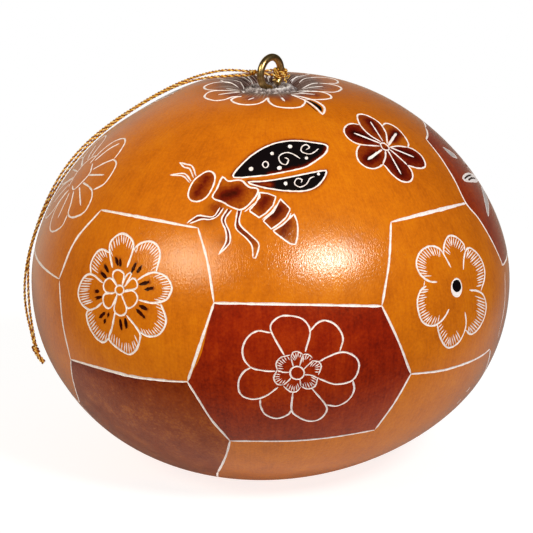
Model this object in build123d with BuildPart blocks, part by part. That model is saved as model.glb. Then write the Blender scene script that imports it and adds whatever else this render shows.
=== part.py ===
"""Carved gourd ornament: a dried gourd with a brass screw eye and a hitched thread loop.

Millimetres, +Z up. The origin is the middle of the flat that the gourd stands on.
The photograph looks along +Y, with +X to the right.
"""
import os
from math import acos, atan2, cos, pi, radians, sin, sqrt, tan

from build123d import *

os.makedirs("parts", exist_ok=True)

# Gourd
gourd_width = 75.0
gourd_height = 61.0
equator_height = 29.8
rest_flat_width = 18.0
crown_rim_width = 14.0
rind_wall = 3.6
pith_wall = 0.9
pith_gap = 0.1
belly_foot_reach = 0.144
belly_side_reach = 0.768
shoulder_side_reach = 0.518
shoulder_top_reach = 0.429

# Stem scar in the dimple at the crown
scar_width = 8.4
scar_thickness = 1.0
scar_seat_gap = 0.1
scar_edge_bevel = 0.25
dimple_depth = 0.9
scar_sink = 0.3

# Screw eye
wire_diameter = 1.15
ring_width = 6.0
ring_turn_angle = 50.0
ring_gap_angle = 36.0
shank_length = 9.0
shank_tip_length = 1.4
thread_pitch = 0.8
thread_depth = 0.16
thread_root = 0.04
thread_ridge_width = 0.54
shank_clearance = 0.1
pilot_clearance = 0.02

# Thread
strand_diameter = 0.45
wrap_clearance = 0.4
wrap_gap = 0.1
hitch_drop = 0.4
knot_offset = 4.3
knot_diameter = 1.2
knot_leg_spread = 0.4
corner_share = 0.45

# End knot and its tails
end_knot_width = 1.3
end_knot_length = 2.0
end_knot_middle = (-37.25, 2.0, 17.5)
tail_tips = ((-35.8, 1.7, 15.4), (-36.4, 2.4, 15.1))

# Seeds
seed_length = 11.0
seed_width = 6.0
seed_thickness = 2.2
seed_blunt_width = 3.0
seed_bevel_angle = 35.0
seed_gap = 0.25
inner_ring_seeds = 4
inner_ring_radius = 7.6
outer_ring_seeds = 10
outer_ring_low_share = 0.27
outer_ring_high_share = 0.56
outer_ring_phase_angle = 11.0

# Thread routes, from the hitch knot over the left shoulder to the end knot
thread_routes = {
    "upper_strand": (
        (-3.5, 2.05, 62.55), (-6.2, 2.35, 62.8), (-9.3, 3.3, 62.15), (-13.0, 4.7, 60.9), (-17.0, 6.1, 58.95),
        (-21.0, 7.1, 56.45), (-25.0, 7.8, 53.4), (-28.8, 8.0, 49.85), (-32.1, 7.6, 45.85), (-34.8, 6.6, 41.6),
        (-36.9, 5.3, 37.1), (-38.3, 4.0, 32.4), (-38.95, 3.0, 28.0), (-38.75, 2.5, 23.9), (-37.95, 2.3, 20.4),
        (-37.5, 2.2, 18.2),
    ),
    "lower_strand": (
        (-3.5, 1.95, 61.95), (-6.3, 2.0, 61.85), (-9.5, 2.75, 61.5), (-13.2, 4.15, 60.75), (-17.2, 5.55, 58.9),
        (-21.2, 6.55, 56.4), (-25.2, 7.25, 53.3), (-29.0, 7.45, 49.75), (-32.3, 7.05, 45.7), (-34.95, 6.05, 41.45),
        (-37.0, 4.75, 36.9), (-38.2, 3.4, 32.3), (-38.3, 2.4, 28.0), (-38.1, 1.95, 24.0), (-37.6, 1.8, 20.5),
        (-37.2, 1.75, 18.2),
    ),
}

# Sizes that follow from the ones above
crown_rim = crown_rim_width / 2
rest_flat = rest_flat_width / 2
scar_seat_radius = scar_width / 2
scar_top = gourd_height - dimple_depth - scar_sink
scar_floor = scar_top - scar_thickness
wire_radius = wire_diameter / 2
ring_radius = (ring_width - wire_diameter) / 2
ring_centre_height = scar_top + ring_width / 2
ring_direction = Vector(cos(radians(ring_turn_angle)), sin(radians(ring_turn_angle)), 0)
ring_normal = Vector(-sin(radians(ring_turn_angle)), cos(radians(ring_turn_angle)), 0)
core_radius = wire_radius - thread_depth
strand_radius = strand_diameter / 2
hitch_height = ring_centre_height - hitch_drop
limb_reach = sqrt(ring_radius**2 - hitch_drop**2)
limb_x = limb_reach * cos(radians(ring_turn_angle))
limb_y = limb_reach * sin(radians(ring_turn_angle))
lining_inset = rind_wall + pith_gap
hollow_inset = lining_inset + pith_wall


def belly_points(inset):
    """Control points of the lower side, from the rest flat out to the equator, inset from the skin."""
    side = gourd_width / 2 - inset
    foot = (rest_flat, inset)
    foot_reach = (rest_flat + belly_foot_reach * (side - rest_flat), inset)
    side_reach = (side, equator_height - belly_side_reach * (equator_height - inset))
    return foot, foot_reach, side_reach, (side, equator_height)


def shoulder_points(inset):
    """Control points of the upper side, from the equator in to the crown rim, inset from the skin."""
    side = gourd_width / 2 - inset
    crown = gourd_height - inset
    side_reach = (side, equator_height + shoulder_side_reach * (crown - equator_height))
    top_reach = (crown_rim + shoulder_top_reach * (side - crown_rim), crown)
    return (side, equator_height), side_reach, top_reach, (crown_rim, crown)


def hollow_body(inset):
    """Solid of the gourd's outline, inset from the skin, with a flat crown."""
    crown = gourd_height - inset
    with BuildPart() as body:
        with BuildSketch(Plane.XZ):
            with BuildLine():
                Bezier(*belly_points(inset))
                Bezier(*shoulder_points(inset))
                Polyline((crown_rim, crown), (0, crown), (0, inset), (rest_flat, inset))
            make_face()
        revolve(axis=Axis.Z)
    return body.part


def corner_radii(points):
    """Radius of each corner of a thread route, as large as its two runs allow."""
    radii = []
    for before, corner, after in zip(points, points[1:], points[2:]):
        run_in = Vector(*corner) - Vector(*before)
        run_out = Vector(*after) - Vector(*corner)
        half_turn = radians(run_in.get_angle(run_out) / 2)
        radii.append(corner_share * min(run_in.length, run_out.length) / tan(half_turn))
    return radii


# Gourd shell, with its dimple, scar seat and pilot hole
with BuildPart() as gourd_shell:
    with BuildSketch(Plane.XZ):
        with BuildLine():
            Bezier(*belly_points(0))
            Bezier(*shoulder_points(0))
            dimple_edge = (scar_seat_radius, gourd_height - dimple_depth)
            TangentArc((crown_rim, gourd_height), dimple_edge, tangent=(-1, 0))
            Polyline(dimple_edge, (scar_seat_radius, scar_floor), (0, scar_floor), (0, 0), (rest_flat, 0))
        make_face()
    revolve(axis=Axis.Z)
    add(hollow_body(rind_wall), mode=Mode.SUBTRACT)
    with BuildSketch(Plane.XY.offset(scar_floor)):
        Circle(core_radius + pilot_clearance)
    extrude(amount=-rind_wall, mode=Mode.SUBTRACT)
gourd_shell.part.label = "gourd_shell"
export_step(gourd_shell.part, "parts/gourd_shell.step")

# Pith lining, the dried skin on the inside of the rind
with BuildPart() as pith_lining:
    add(hollow_body(lining_inset))
    add(hollow_body(hollow_inset), mode=Mode.SUBTRACT)
    with BuildSketch(Plane.XY.offset(gourd_height - lining_inset)):
        Circle(wire_radius + shank_clearance)
    extrude(amount=-hollow_inset, mode=Mode.SUBTRACT)
pith_lining.part.label = "pith_lining"
export_step(pith_lining.part, "parts/pith_lining.step")

# Stem scar, a corky pad with a hole for the shank
with BuildPart() as stem_scar:
    with BuildSketch(Plane.XY.offset(scar_floor)):
        Circle(scar_seat_radius - scar_seat_gap)
        Circle(wire_radius + shank_clearance, mode=Mode.SUBTRACT)
    extrude(amount=scar_thickness)
    top_edges = stem_scar.faces().sort_by(Axis.Z)[-1].edges().sort_by(SortBy.LENGTH)
    chamfer(top_edges[-1], scar_edge_bevel)
stem_scar.part.label = "stem_scar"
export_step(stem_scar.part, "parts/stem_scar.step")

# Screw eye: an open ring on a pointed shank with a screw thread
with BuildPart() as screw_eye:
    ring_centre = Vector(0, 0, ring_centre_height)
    with BuildSketch(Plane(origin=ring_centre, x_dir=ring_normal, z_dir=ring_direction)):
        with Locations((0, -ring_radius)):
            Circle(wire_radius)
    revolve(axis=Axis(ring_centre, ring_normal), revolution_arc=360 - ring_gap_angle)
    shank_top = ring_centre_height - ring_radius
    shank_tip = scar_top - shank_length
    with BuildSketch(Plane.XZ):
        with BuildLine():
            Polyline(
                (0, shank_top), (wire_radius, shank_top), (wire_radius, scar_floor),
                (core_radius, scar_floor - thread_depth), (core_radius, shank_tip + shank_tip_length),
                (0, shank_tip), (0, shank_top),
            )
        make_face()
    revolve(axis=Axis.Z)
    thread_bottom = shank_tip + shank_tip_length
    thread_length = scar_floor - thread_depth - thread_pitch - thread_bottom
    with BuildLine() as thread_path:
        Helix(thread_pitch, thread_length, core_radius, center=(0, 0, thread_bottom + thread_pitch / 2))
    with BuildSketch(Plane(origin=thread_path.line @ 0, x_dir=(1, 0, 0), z_dir=thread_path.line % 0)):
        with BuildLine():
            Polyline(
                (-thread_root, -thread_ridge_width / 2),
                (thread_depth, 0),
                (-thread_root, thread_ridge_width / 2),
                close=True,
            )
        make_face()
    sweep(path=thread_path.wire(), is_frenet=True)
screw_eye.part.label = "screw_eye"
export_step(screw_eye.part, "parts/screw_eye.step")

# Hitch: two turns of thread round the far limb of the eye, drawn into a small knot
with BuildPart() as eye_hitch:
    wrap_reach = wire_radius + wrap_clearance + strand_radius
    knot_x = limb_x - knot_offset
    knot_reach = sqrt(knot_offset**2 + knot_leg_spread**2)
    touch_angle = acos(wrap_reach / knot_reach) + atan2(knot_leg_spread, knot_offset)
    touch_x = limb_x - wrap_reach * cos(touch_angle)
    touch_y = wrap_reach * sin(touch_angle)
    for level in (-1, 1):
        turn_height = hitch_height + level * (strand_diameter + wrap_gap) / 2
        near_touch = (touch_x, limb_y - touch_y, turn_height)
        far_touch = (touch_x, limb_y + touch_y, turn_height)
        with BuildLine() as turn_path:
            Line((knot_x, limb_y - knot_leg_spread, turn_height), near_touch)
            ThreePointArc(near_touch, (limb_x + wrap_reach, limb_y, turn_height), far_touch)
            Line(far_touch, (knot_x, limb_y + knot_leg_spread, turn_height))
        with BuildSketch(Plane(origin=turn_path.line @ 0, z_dir=turn_path.line % 0)):
            Circle(strand_radius)
        sweep(path=turn_path.wire())
    with Locations((knot_x, limb_y, hitch_height)):
        Sphere(knot_diameter / 2)
eye_hitch.part.label = "eye_hitch"
export_step(eye_hitch.part, "parts/eye_hitch.step")

# Strands of the thread
for strand_name, route in thread_routes.items():
    radii = corner_radii(route)
    with BuildPart() as strand:
        with BuildLine() as strand_path:
            FilletPolyline(*route, radius=radii)
        with BuildSketch(Plane(origin=strand_path.line @ 0, z_dir=strand_path.line % 0)):
            Circle(strand_radius)
        sweep(path=strand_path.wire())
    section = pi * strand_radius**2
    print(strand_name, "length", round(strand_path.wire().length, 2), "radii", [round(radius, 1) for radius in radii])
    print(strand_name, "volume", round(strand.part.volume, 3), "section times length",
          round(section * strand_path.wire().length, 3))
    strand.part.label = strand_name
    export_step(strand.part, f"parts/{strand_name}.step")

# End knot with its two cut tails
with BuildPart() as end_knot:
    with BuildSketch(Plane(origin=end_knot_middle, x_dir=(1, 0, 0), z_dir=(0, -1, 0))):
        Ellipse(end_knot_width / 2, end_knot_length / 2)
        split(bisect_by=Plane.YZ, keep=Keep.TOP)
    revolve(axis=Axis(end_knot_middle, (0, 0, 1)))
    for tip in tail_tips:
        tail = Vector(*tip) - Vector(*end_knot_middle)
        with BuildSketch(Plane(origin=end_knot_middle, z_dir=tail)):
            Circle(strand_radius)
        extrude(amount=tail.length)
end_knot.part.label = "end_knot"
export_step(end_knot.part, "parts/end_knot.step")

# Seeds: a ring on the flat floor of the hollow and a ring on its rising side
floor_curve = Bezier(*belly_points(hollow_inset), mode=Mode.PRIVATE)
low_rest = floor_curve @ outer_ring_low_share
high_rest = floor_curve @ outer_ring_high_share
seat_middle = (low_rest + high_rest) / 2
seat_slope = (high_rest - low_rest).normalized()
seed_lift = seed_gap + seed_thickness / 2
seed_planes = []
for number in range(inner_ring_seeds):
    turn = 2 * pi * number / inner_ring_seeds
    outward = Vector(cos(turn), sin(turn), 0)
    along = Vector(-sin(turn), cos(turn), 0)
    place = outward * inner_ring_radius + Vector(0, 0, hollow_inset + seed_lift)
    seed_planes.append(Plane(origin=place, x_dir=along, z_dir=(0, 0, 1)))
for number in range(outer_ring_seeds):
    turn = 2 * pi * number / outer_ring_seeds + radians(outer_ring_phase_angle)
    outward = Vector(cos(turn), sin(turn), 0)
    along = outward * seat_slope.X + Vector(0, 0, seat_slope.Y)
    upward = outward * -seat_slope.Y + Vector(0, 0, seat_slope.X)
    place = outward * seat_middle.X + Vector(0, 0, seat_middle.Y) + upward * seed_lift
    seed_planes.append(Plane(origin=place, x_dir=along, z_dir=upward))
for number, seed_plane in enumerate(seed_planes, start=1):
    with BuildPart() as seed:
        with BuildSketch(seed_plane):
            with BuildLine():
                tip = (-seed_length / 2, 0)
                near_shoulder = (seed_length / 2, -seed_blunt_width / 2)
                far_shoulder = (seed_length / 2, seed_blunt_width / 2)
                ThreePointArc(tip, (0, -seed_width / 2), near_shoulder)
                Line(near_shoulder, far_shoulder)
                ThreePointArc(far_shoulder, (0, seed_width / 2), tip)
            make_face()
        extrude(amount=seed_thickness / 2, taper=seed_bevel_angle)
        mirror(about=seed_plane)
    seed.part.label = f"seed_{number:02d}"
    export_step(seed.part, f"parts/seed_{number:02d}.step")
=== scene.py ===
"""Looks of the carved gourd ornament: carved rind, stem scar, brass eye and gold thread.

Lengths are in millimetres until a mesh is made. +Z is up and the photograph looks along +Y.
A place on the skin is one complex number on a flat chart of the gourd: its angle is the turn from
the front, and its size grows from the crown to the foot, so that small shapes keep their form.
"""
import math
import random

import bpy
import numpy as np
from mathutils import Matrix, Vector, geometry, kdtree


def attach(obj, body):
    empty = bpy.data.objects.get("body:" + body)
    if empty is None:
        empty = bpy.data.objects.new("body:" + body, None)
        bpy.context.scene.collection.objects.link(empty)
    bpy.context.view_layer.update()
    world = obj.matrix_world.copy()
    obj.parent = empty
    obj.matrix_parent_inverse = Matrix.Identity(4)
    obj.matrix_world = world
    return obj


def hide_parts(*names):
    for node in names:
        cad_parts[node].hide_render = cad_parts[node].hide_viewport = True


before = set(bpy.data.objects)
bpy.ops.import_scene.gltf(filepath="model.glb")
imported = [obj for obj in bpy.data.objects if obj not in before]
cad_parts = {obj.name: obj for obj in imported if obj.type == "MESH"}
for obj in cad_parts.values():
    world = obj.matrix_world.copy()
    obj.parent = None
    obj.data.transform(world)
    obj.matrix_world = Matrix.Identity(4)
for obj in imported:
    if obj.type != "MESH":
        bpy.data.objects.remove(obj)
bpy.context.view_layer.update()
random.seed(11)
noise_maker = np.random.default_rng(11)
scene = bpy.context.scene
scene.view_settings.view_transform = "Standard"
MM = 0.001

# Camera of the photograph
IMAGE_SIZE = 533.0
FOCAL_PIXELS = 3820.0
SENSOR_WIDTH = 36.0
VIEW_DISTANCE = 600.0
VIEW_ELEVATION = math.radians(16.0)
GOURD_MIDDLE = np.array([0.0, 0.0, 30.15])
GOURD_MIDDLE_PIXEL = (270.56, 275.55)
view_back = np.array([0.0, -math.cos(VIEW_ELEVATION), math.sin(VIEW_ELEVATION)])
view_right = np.array([1.0, 0.0, 0.0])
view_up = np.array([0.0, math.sin(VIEW_ELEVATION), math.cos(VIEW_ELEVATION)])
camera_place = GOURD_MIDDLE + VIEW_DISTANCE * view_back

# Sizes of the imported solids
GOURD_WIDTH = 75.0
GOURD_HEIGHT = 61.0
EQUATOR_HEIGHT = 29.8
REST_FLAT = 9.0
CROWN_RIM = 7.0
RIND_WALL = 3.6
SHOULDER_TOP_REACH = 0.429
SHOULDER_SIDE_REACH = 0.518
BELLY_SIDE_REACH = 0.768
BELLY_FOOT_REACH = 0.144
SEAT_RADIUS = 4.2
DIMPLE_DEPTH = 0.9
SCAR_TOP = 59.8
SCAR_FLOOR = 58.8
PILOT_RADIUS = 0.435
WIRE_RADIUS = 0.575
RING_RADIUS = 2.425
RING_TURN = math.radians(50.0)
RING_GAP = math.radians(36.0)
RING_MIDDLE = 62.8
SHANK_TIP = 50.8
LIMB = np.array([1.5374, 1.8322])
HITCH_KNOT = np.array([-2.7626, 1.8322, 62.4])
END_KNOT = np.array([-37.25, 2.0, 17.5])

# Thread routes, from the hitch knot over the left shoulder to the end knot
THREAD_ROUTES = {
    "upper_strand": (
        (-3.5, 2.05, 62.55), (-6.2, 2.35, 62.8), (-9.3, 3.3, 62.15), (-13.0, 4.7, 60.9),
        (-17.0, 6.1, 58.95), (-21.0, 7.1, 56.45), (-25.0, 7.8, 53.4), (-28.8, 8.0, 49.85),
        (-32.1, 7.6, 45.85), (-34.8, 6.6, 41.6), (-36.9, 5.3, 37.1), (-38.3, 4.0, 32.4),
        (-38.95, 3.0, 28.0), (-38.75, 2.5, 23.9), (-37.95, 2.3, 20.4), (-37.5, 2.2, 18.2),
    ),
    "lower_strand": (
        (-3.5, 1.95, 61.95), (-6.3, 2.0, 61.85), (-9.5, 2.75, 61.5), (-13.2, 4.15, 60.75),
        (-17.2, 5.55, 58.9), (-21.2, 6.55, 56.4), (-25.2, 7.25, 53.3), (-29.0, 7.45, 49.75),
        (-32.3, 7.05, 45.7), (-34.95, 6.05, 41.45), (-37.0, 4.75, 36.9), (-38.2, 3.4, 32.3),
        (-38.3, 2.4, 28.0), (-38.1, 1.95, 24.0), (-37.6, 1.8, 20.5), (-37.2, 1.75, 18.2),
    ),
}
# How far each point moves towards the skin: the lower strand lies closer along the shoulder
THREAD_PRESS = {
    "upper_strand": (0, 0, 0, 0.2, 0.4, 0.5, 0.3, -0.05, -0.25, -0.15, 0.05, 0, 0, 0, 0, 0),
    "lower_strand": (0, 0, 0, 0.35, 0.55, 0.6, 0.5, 0.38, 0.33, 0.27, 0.2, 0, 0, 0, 0, 0),
}


def cubic(points, share):
    a, b, c, d = (np.array(point, float) for point in points)
    t = share[:, None]
    return a * (1 - t) ** 3 + 3 * b * t * (1 - t) ** 2 + 3 * c * t * t * (1 - t) + d * t**3


def side_outline(inset, count):
    """Outline of the gourd from the crown rim to the rest flat, inset from the skin."""
    side = GOURD_WIDTH / 2 - inset
    crown = GOURD_HEIGHT - inset
    share = np.linspace(0, 1, count)
    shoulder = cubic(
        [
            (CROWN_RIM, crown),
            (CROWN_RIM + SHOULDER_TOP_REACH * (side - CROWN_RIM), crown),
            (side, EQUATOR_HEIGHT + SHOULDER_SIDE_REACH * (crown - EQUATOR_HEIGHT)),
            (side, EQUATOR_HEIGHT),
        ],
        share,
    )
    belly = cubic(
        [
            (side, EQUATOR_HEIGHT),
            (side, EQUATOR_HEIGHT - BELLY_SIDE_REACH * (EQUATOR_HEIGHT - inset)),
            (REST_FLAT + BELLY_FOOT_REACH * (side - REST_FLAT), inset),
            (REST_FLAT, inset),
        ],
        share,
    )
    return np.concatenate([shoulder[:-1], belly])


# Profile of the skin from the edge of the stem scar to the foot, and its flat chart
DIMPLE_STEPS = 60
OUTLINE_STEPS = 900
dimple_run = CROWN_RIM - SEAT_RADIUS
dimple_radius = (dimple_run**2 + DIMPLE_DEPTH**2) / (2 * DIMPLE_DEPTH)
dimple_turn = np.linspace(math.asin(dimple_run / dimple_radius), 0, DIMPLE_STEPS)
dimple_r = CROWN_RIM - dimple_radius * np.sin(dimple_turn)
dimple_z = GOURD_HEIGHT - dimple_radius * (1 - np.cos(dimple_turn))
dimple = np.stack([dimple_r, dimple_z], 1)
skin = np.concatenate([dimple[:-1], side_outline(0.0, OUTLINE_STEPS)])
skin_r = skin[:, 0]
skin_z = skin[:, 1]
skin_step = np.diff(skin, axis=0)
skin_run = np.hypot(skin_step[:, 0], skin_step[:, 1])
skin_s = np.concatenate([[0.0], np.cumsum(skin_run)])
skin_log = np.concatenate([[0.0], np.cumsum(skin_run * 0.5 * (1 / skin_r[1:] + 1 / skin_r[:-1]))])
skin_slope = np.gradient(skin, skin_s, axis=0)
skin_slope = skin_slope / np.linalg.norm(skin_slope, axis=1)[:, None]
FOOT_S = skin_s[-1]
FOOT_SIZE = math.exp(skin_log[-1])
body = skin[DIMPLE_STEPS - 1 :]
body = body[np.argsort(body[:, 1])]
body_r = body[:, 0]
body_z = body[:, 1]


def on_skin(chart):
    """Turn, run from the crown, radius and height of places on the chart."""
    level = np.log(np.maximum(np.abs(chart), 1.0))
    run = np.interp(level, skin_log, skin_s)
    return np.angle(chart), run, np.interp(run, skin_s, skin_r), np.interp(run, skin_s, skin_z)


def skin_points(chart):
    """Points on the skin and the skin's outward directions there."""
    turn, run, radius, height = on_skin(chart)
    slope_r = np.interp(run, skin_s, skin_slope[:, 0])
    slope_z = np.interp(run, skin_s, skin_slope[:, 1])
    points = np.stack([radius * np.sin(turn), -radius * np.cos(turn), height], 1)
    outward = np.stack([-slope_z * np.sin(turn), slope_z * np.cos(turn), slope_r], 1)
    return points, outward


def chart_scale(chart):
    """Millimetres on the skin for one unit of the chart."""
    radius = on_skin(chart)[2]
    return radius / np.maximum(np.abs(chart), 1e-6)


def at(turn, run):
    """Chart place from a turn in degrees to the right of the front and a run from the crown."""
    size = np.exp(np.interp(run, skin_s, skin_log))
    return size * np.exp(1j * np.radians(turn))


SEARCH_REACH = 45.0
SEARCH_STEP = 0.25
SEARCH_HALVINGS = 24


def seen(pixels):
    """Chart places of the skin that the photograph's camera sees at these pixels."""
    pixels = np.atleast_2d(np.array(pixels, float))
    across = (pixels[:, 0] - GOURD_MIDDLE_PIXEL[0]) / FOCAL_PIXELS
    above = (GOURD_MIDDLE_PIXEL[1] - pixels[:, 1]) / FOCAL_PIXELS
    ray = -view_back + across[:, None] * view_right + above[:, None] * view_up

    def in_gourd(reach):
        point = camera_place + ray * reach[:, None]
        radius = np.interp(point[:, 2], body_z, body_r, left=-1, right=-1)
        return np.hypot(point[:, 0], point[:, 1]) < radius

    near = np.full(len(pixels), VIEW_DISTANCE - SEARCH_REACH)
    found = np.zeros(len(pixels), bool)
    for reach in np.arange(VIEW_DISTANCE - SEARCH_REACH, VIEW_DISTANCE + SEARCH_REACH, SEARCH_STEP):
        now = in_gourd(np.full(len(pixels), reach)) & ~found
        near[now] = reach
        found |= now
    if not found.all():
        raise ValueError(f"no skin at pixels {pixels[~found].tolist()}")
    far = near.copy()
    near = near - SEARCH_STEP
    for _ in range(SEARCH_HALVINGS):
        middle = (near + far) / 2
        hit = in_gourd(middle)
        far = np.where(hit, middle, far)
        near = np.where(hit, near, middle)
    point = camera_place + ray * far[:, None]
    radius = np.hypot(point[:, 0], point[:, 1])
    turn = np.arctan2(point[:, 0], -point[:, 1])
    gap = (skin_r[None, :] - radius[:, None]) ** 2 + (skin_z[None, :] - point[:, 2][:, None]) ** 2
    return np.exp(skin_log[gap.argmin(1)]) * np.exp(1j * turn)


DRAWING_PIXELS_PER_MM = 6.4


def patch(turn, run, spin=0.0, scale=1.0):
    """Map onto the skin from a drawing about its middle, x right and y down at the photograph's scale."""
    radius = np.interp(run, skin_s, skin_r)
    level = np.interp(run, skin_s, skin_log)
    factor = scale / DRAWING_PIXELS_PER_MM

    def place(drawing):
        drawing = np.atleast_2d(np.array(drawing, float)) * factor
        spun = (drawing[:, 0] + 1j * drawing[:, 1]) * np.exp(1j * math.radians(spin))
        return np.exp(level + spun.imag / radius + 1j * (math.radians(turn) + spun.real / radius))

    return place


def crown_plan(drawing):
    """Map onto the skin from a drawing on the crown's plan, x right and y to the front, in millimetres."""
    drawing = np.atleast_2d(np.array(drawing, float))
    radius = np.hypot(drawing[:, 0], drawing[:, 1])
    top = int(skin_r.argmax())
    run = np.interp(radius, skin_r[:top], skin_s[:top])
    return np.exp(np.interp(run, skin_s, skin_log) + 1j * np.arctan2(drawing[:, 0], drawing[:, 1]))


def rounded(points, closed=False, per_run=8):
    """Smooth curve through given points."""
    points = np.array(points, float)
    if len(points) < 3:
        share = np.linspace(0, 1, per_run + 1)[:, None]
        return points[0] * (1 - share) + points[-1] * share
    if closed:
        knots = np.concatenate([points[-1:], points, points[:2]])
    else:
        knots = np.concatenate([[2 * points[0] - points[1]], points, [2 * points[-1] - points[-2]]])
    share = np.linspace(0, 1, per_run, endpoint=False)[:, None]
    runs = []
    for a, b, c, d in zip(knots, knots[1:], knots[2:], knots[3:]):
        bend = 2 * a - 5 * b + 4 * c - d
        twist = 3 * b - a - 3 * c + d
        runs.append(0.5 * (2 * b + (c - a) * share + bend * share**2 + twist * share**3))
    if not closed:
        runs.append(knots[-2:-1])
    return np.concatenate(runs)


def straight(points, per_run=24):
    """Straight runs between given points, divided evenly."""
    points = np.array(points, float)
    share = np.linspace(0, 1, per_run, endpoint=False)[:, None]
    runs = [a * (1 - share) + b * share for a, b in zip(points, points[1:])]
    return np.concatenate(runs + [points[-1:]])


# Carving: strokes cut into the skin, and fills that are stained or burnt
LINE = 1
DARK = 2
STAIN = 3
BURN = 4
strokes = []
fills = []
scorches = []
PIXELS_PER_MM = 6.27
TICK_JITTER = 0.16


def resample(chart, step, closed):
    """The same line on the chart with its points a step apart on the skin."""
    if closed:
        chart = np.concatenate([chart, chart[:1]])
    lengths = np.abs(np.diff(chart)) * chart_scale((chart[1:] + chart[:-1]) / 2)
    reach = np.concatenate([[0.0], np.cumsum(lengths)])
    count = max(2, int(math.ceil(reach[-1] / step)))
    marks = np.linspace(0, reach[-1], count + 1)
    line = np.interp(marks, reach, chart.real) + 1j * np.interp(marks, reach, chart.imag)
    return line[:-1] if closed else line


def cut(chart, width, closed=False, swell=0.0, kind=LINE, depth=0.13, step=0.5, taper=1.0):
    """A stroke of the graver along a line on the chart, its width in millimetres."""
    line = resample(chart, step, closed)
    count = len(line)
    share = np.linspace(0, 1, count)
    half = np.full(count, width / 2)
    half *= 1 + swell * (np.sin(math.pi * share) - 0.5)
    half *= 0.9 + 0.13 * noise_maker.standard_normal(count).clip(-1.6, 1.6)
    if not closed:
        half[0] *= 0.5 * taper
        half[-1] *= 0.35 * taper
    strokes.append({"line": line, "half": half, "closed": closed, "kind": kind, "depth": depth})


def draw(place, points, width=0.31, closed=False, **how):
    cut(place(rounded(points, closed)), width, closed, **how)


def oval(x, y, half_width, half_height, count=12):
    turns = np.linspace(0, 2 * math.pi, count, endpoint=False)
    return [(x + half_width * math.cos(a), y + half_height * math.sin(a)) for a in turns]


def dot(place, x, y, size):
    """A round dot of a size in millimetres, cut by one turn of the graver."""
    reach = 0.25 * size * PIXELS_PER_MM
    cut(place(rounded(oval(x, y, reach, reach, 7), True)), 0.55 * size, True, step=0.2, depth=0.1)


def add_fill(outline, kind, near, far, spread, spine):
    area = {"outline": outline, "kind": kind, "near": near, "far": far, "spread": spread, "spine": spine}
    fills.append(area)


def fill(place, outline, kind=BURN, near=0.9, far=0.5, spread=1.0, spine=None, curved=True):
    """An area that is stained or burnt. Burning goes from near, along the spine, to far, away from it."""
    path = rounded(outline, True) if curved else straight(list(outline) + [outline[0]])
    if spine is None:
        spine = [np.mean(np.array(outline, float), axis=0)]
    spine_points = skin_points(place(rounded(spine, per_run=10) if len(spine) > 1 else spine))[0]
    add_fill(resample(place(path), 0.5, True), kind, near, far, spread, spine_points)


def scorch(place, point, spread, strength):
    scorches.append((skin_points(place([point]))[0][0], spread, strength))


def hatch(place, edge, middle, spacing, reach, width=0.2, start=0.1, stop=0.9, along=0.5):
    """Short ticks from an edge, nearly along the petal, the longest at its end."""
    path = rounded(edge, per_run=12)
    lengths = np.concatenate([[0.0], np.cumsum(np.hypot(*np.diff(path, axis=0).T))])
    axis = np.array(middle, float) - path.mean(0)
    axis = axis / np.linalg.norm(axis)
    mark = start * lengths[-1]
    while mark < stop * lengths[-1]:
        root, before, after = (
            np.array([np.interp(m, lengths, path[:, 0]), np.interp(m, lengths, path[:, 1])])
            for m in (mark, mark - 2.0, mark + 2.0)
        )
        edge_way = (after - before) / np.linalg.norm(after - before)
        square = np.array([-edge_way[1], edge_way[0]])
        if square @ axis < 0:
            square = -square
        inward = along * axis + (1 - along) * square
        inward = inward / np.linalg.norm(inward)
        mark += spacing / max(0.5, float(inward @ square))
        lean = random.uniform(-0.05, 0.05)
        inward = np.array([inward[0] - lean * inward[1], inward[1] + lean * inward[0]])
        length = reach * (0.75 + 0.35 * math.sin(math.pi * mark / lengths[-1]))
        tip = root + inward * length * random.uniform(1 - TICK_JITTER, 1 + TICK_JITTER)
        cut(place([root + inward * 0.8, (root + tip) / 2, tip]), width, step=0.7, depth=0.08, taper=0.8)


def shifted(points, middle):
    return [(x + middle[0], y + middle[1]) for x, y in points]


# Flower with hatched petal ends and burnt stamens
ASTER_PETALS = (
    ((-7.1, -22.4), (-10, -40.6), (-7.5, -50), (2.4, -56.5), (11, -52), (14.1, -43), (7.6, -22.4)),
    ((14.1, -40.6), (21, -46.5), (30.6, -48.8), (38, -44), (40.6, -34.7), (36.5, -18.2)),
    ((18.2, -10), (27, -15.5), (36.5, -17.6), (47, -13), (52.4, -2.9), (50, 5), (45.9, 10), (34, 13),
     (18.8, 10)),
    ((41.2, 13.5), (46.5, 28.8), (44, 39), (37.6, 45.3), (28, 46), (19.4, 41.2)),
    ((7, 25.3), (19.4, 41.2), (20.6, 48.8), (16.5, 60), (8.2, 64.1), (-5.9, 54.7), (-10.6, 48.2), (-7.5, 38),
     (-4.1, 20.6)),
    ((-10.6, 48.2), (-16.5, 52.4), (-24, 47), (-30, 37), (-33, 25.3), (-31.2, 19.4)),
    ((-17.6, 12.9), (-24, 18), (-31.2, 19.4), (-38.8, 12.4), (-41.2, 1.8), (-36.5, -11.2), (-28.2, -15.9),
     (-16.5, -7)),
    ((-28.2, -15.9), (-28.8, -25.3), (-24, -36), (-17.6, -40.6), (-10, -37.1)),
)
ASTER_HATCHED = (
    (0.25, 0.78), (0.12, 0.95), (0.3, 0.72), (0.05, 0.92), (0.33, 0.7), (0.12, 0.95), (0.3, 0.72), (0.2, 0.9),
)
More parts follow.
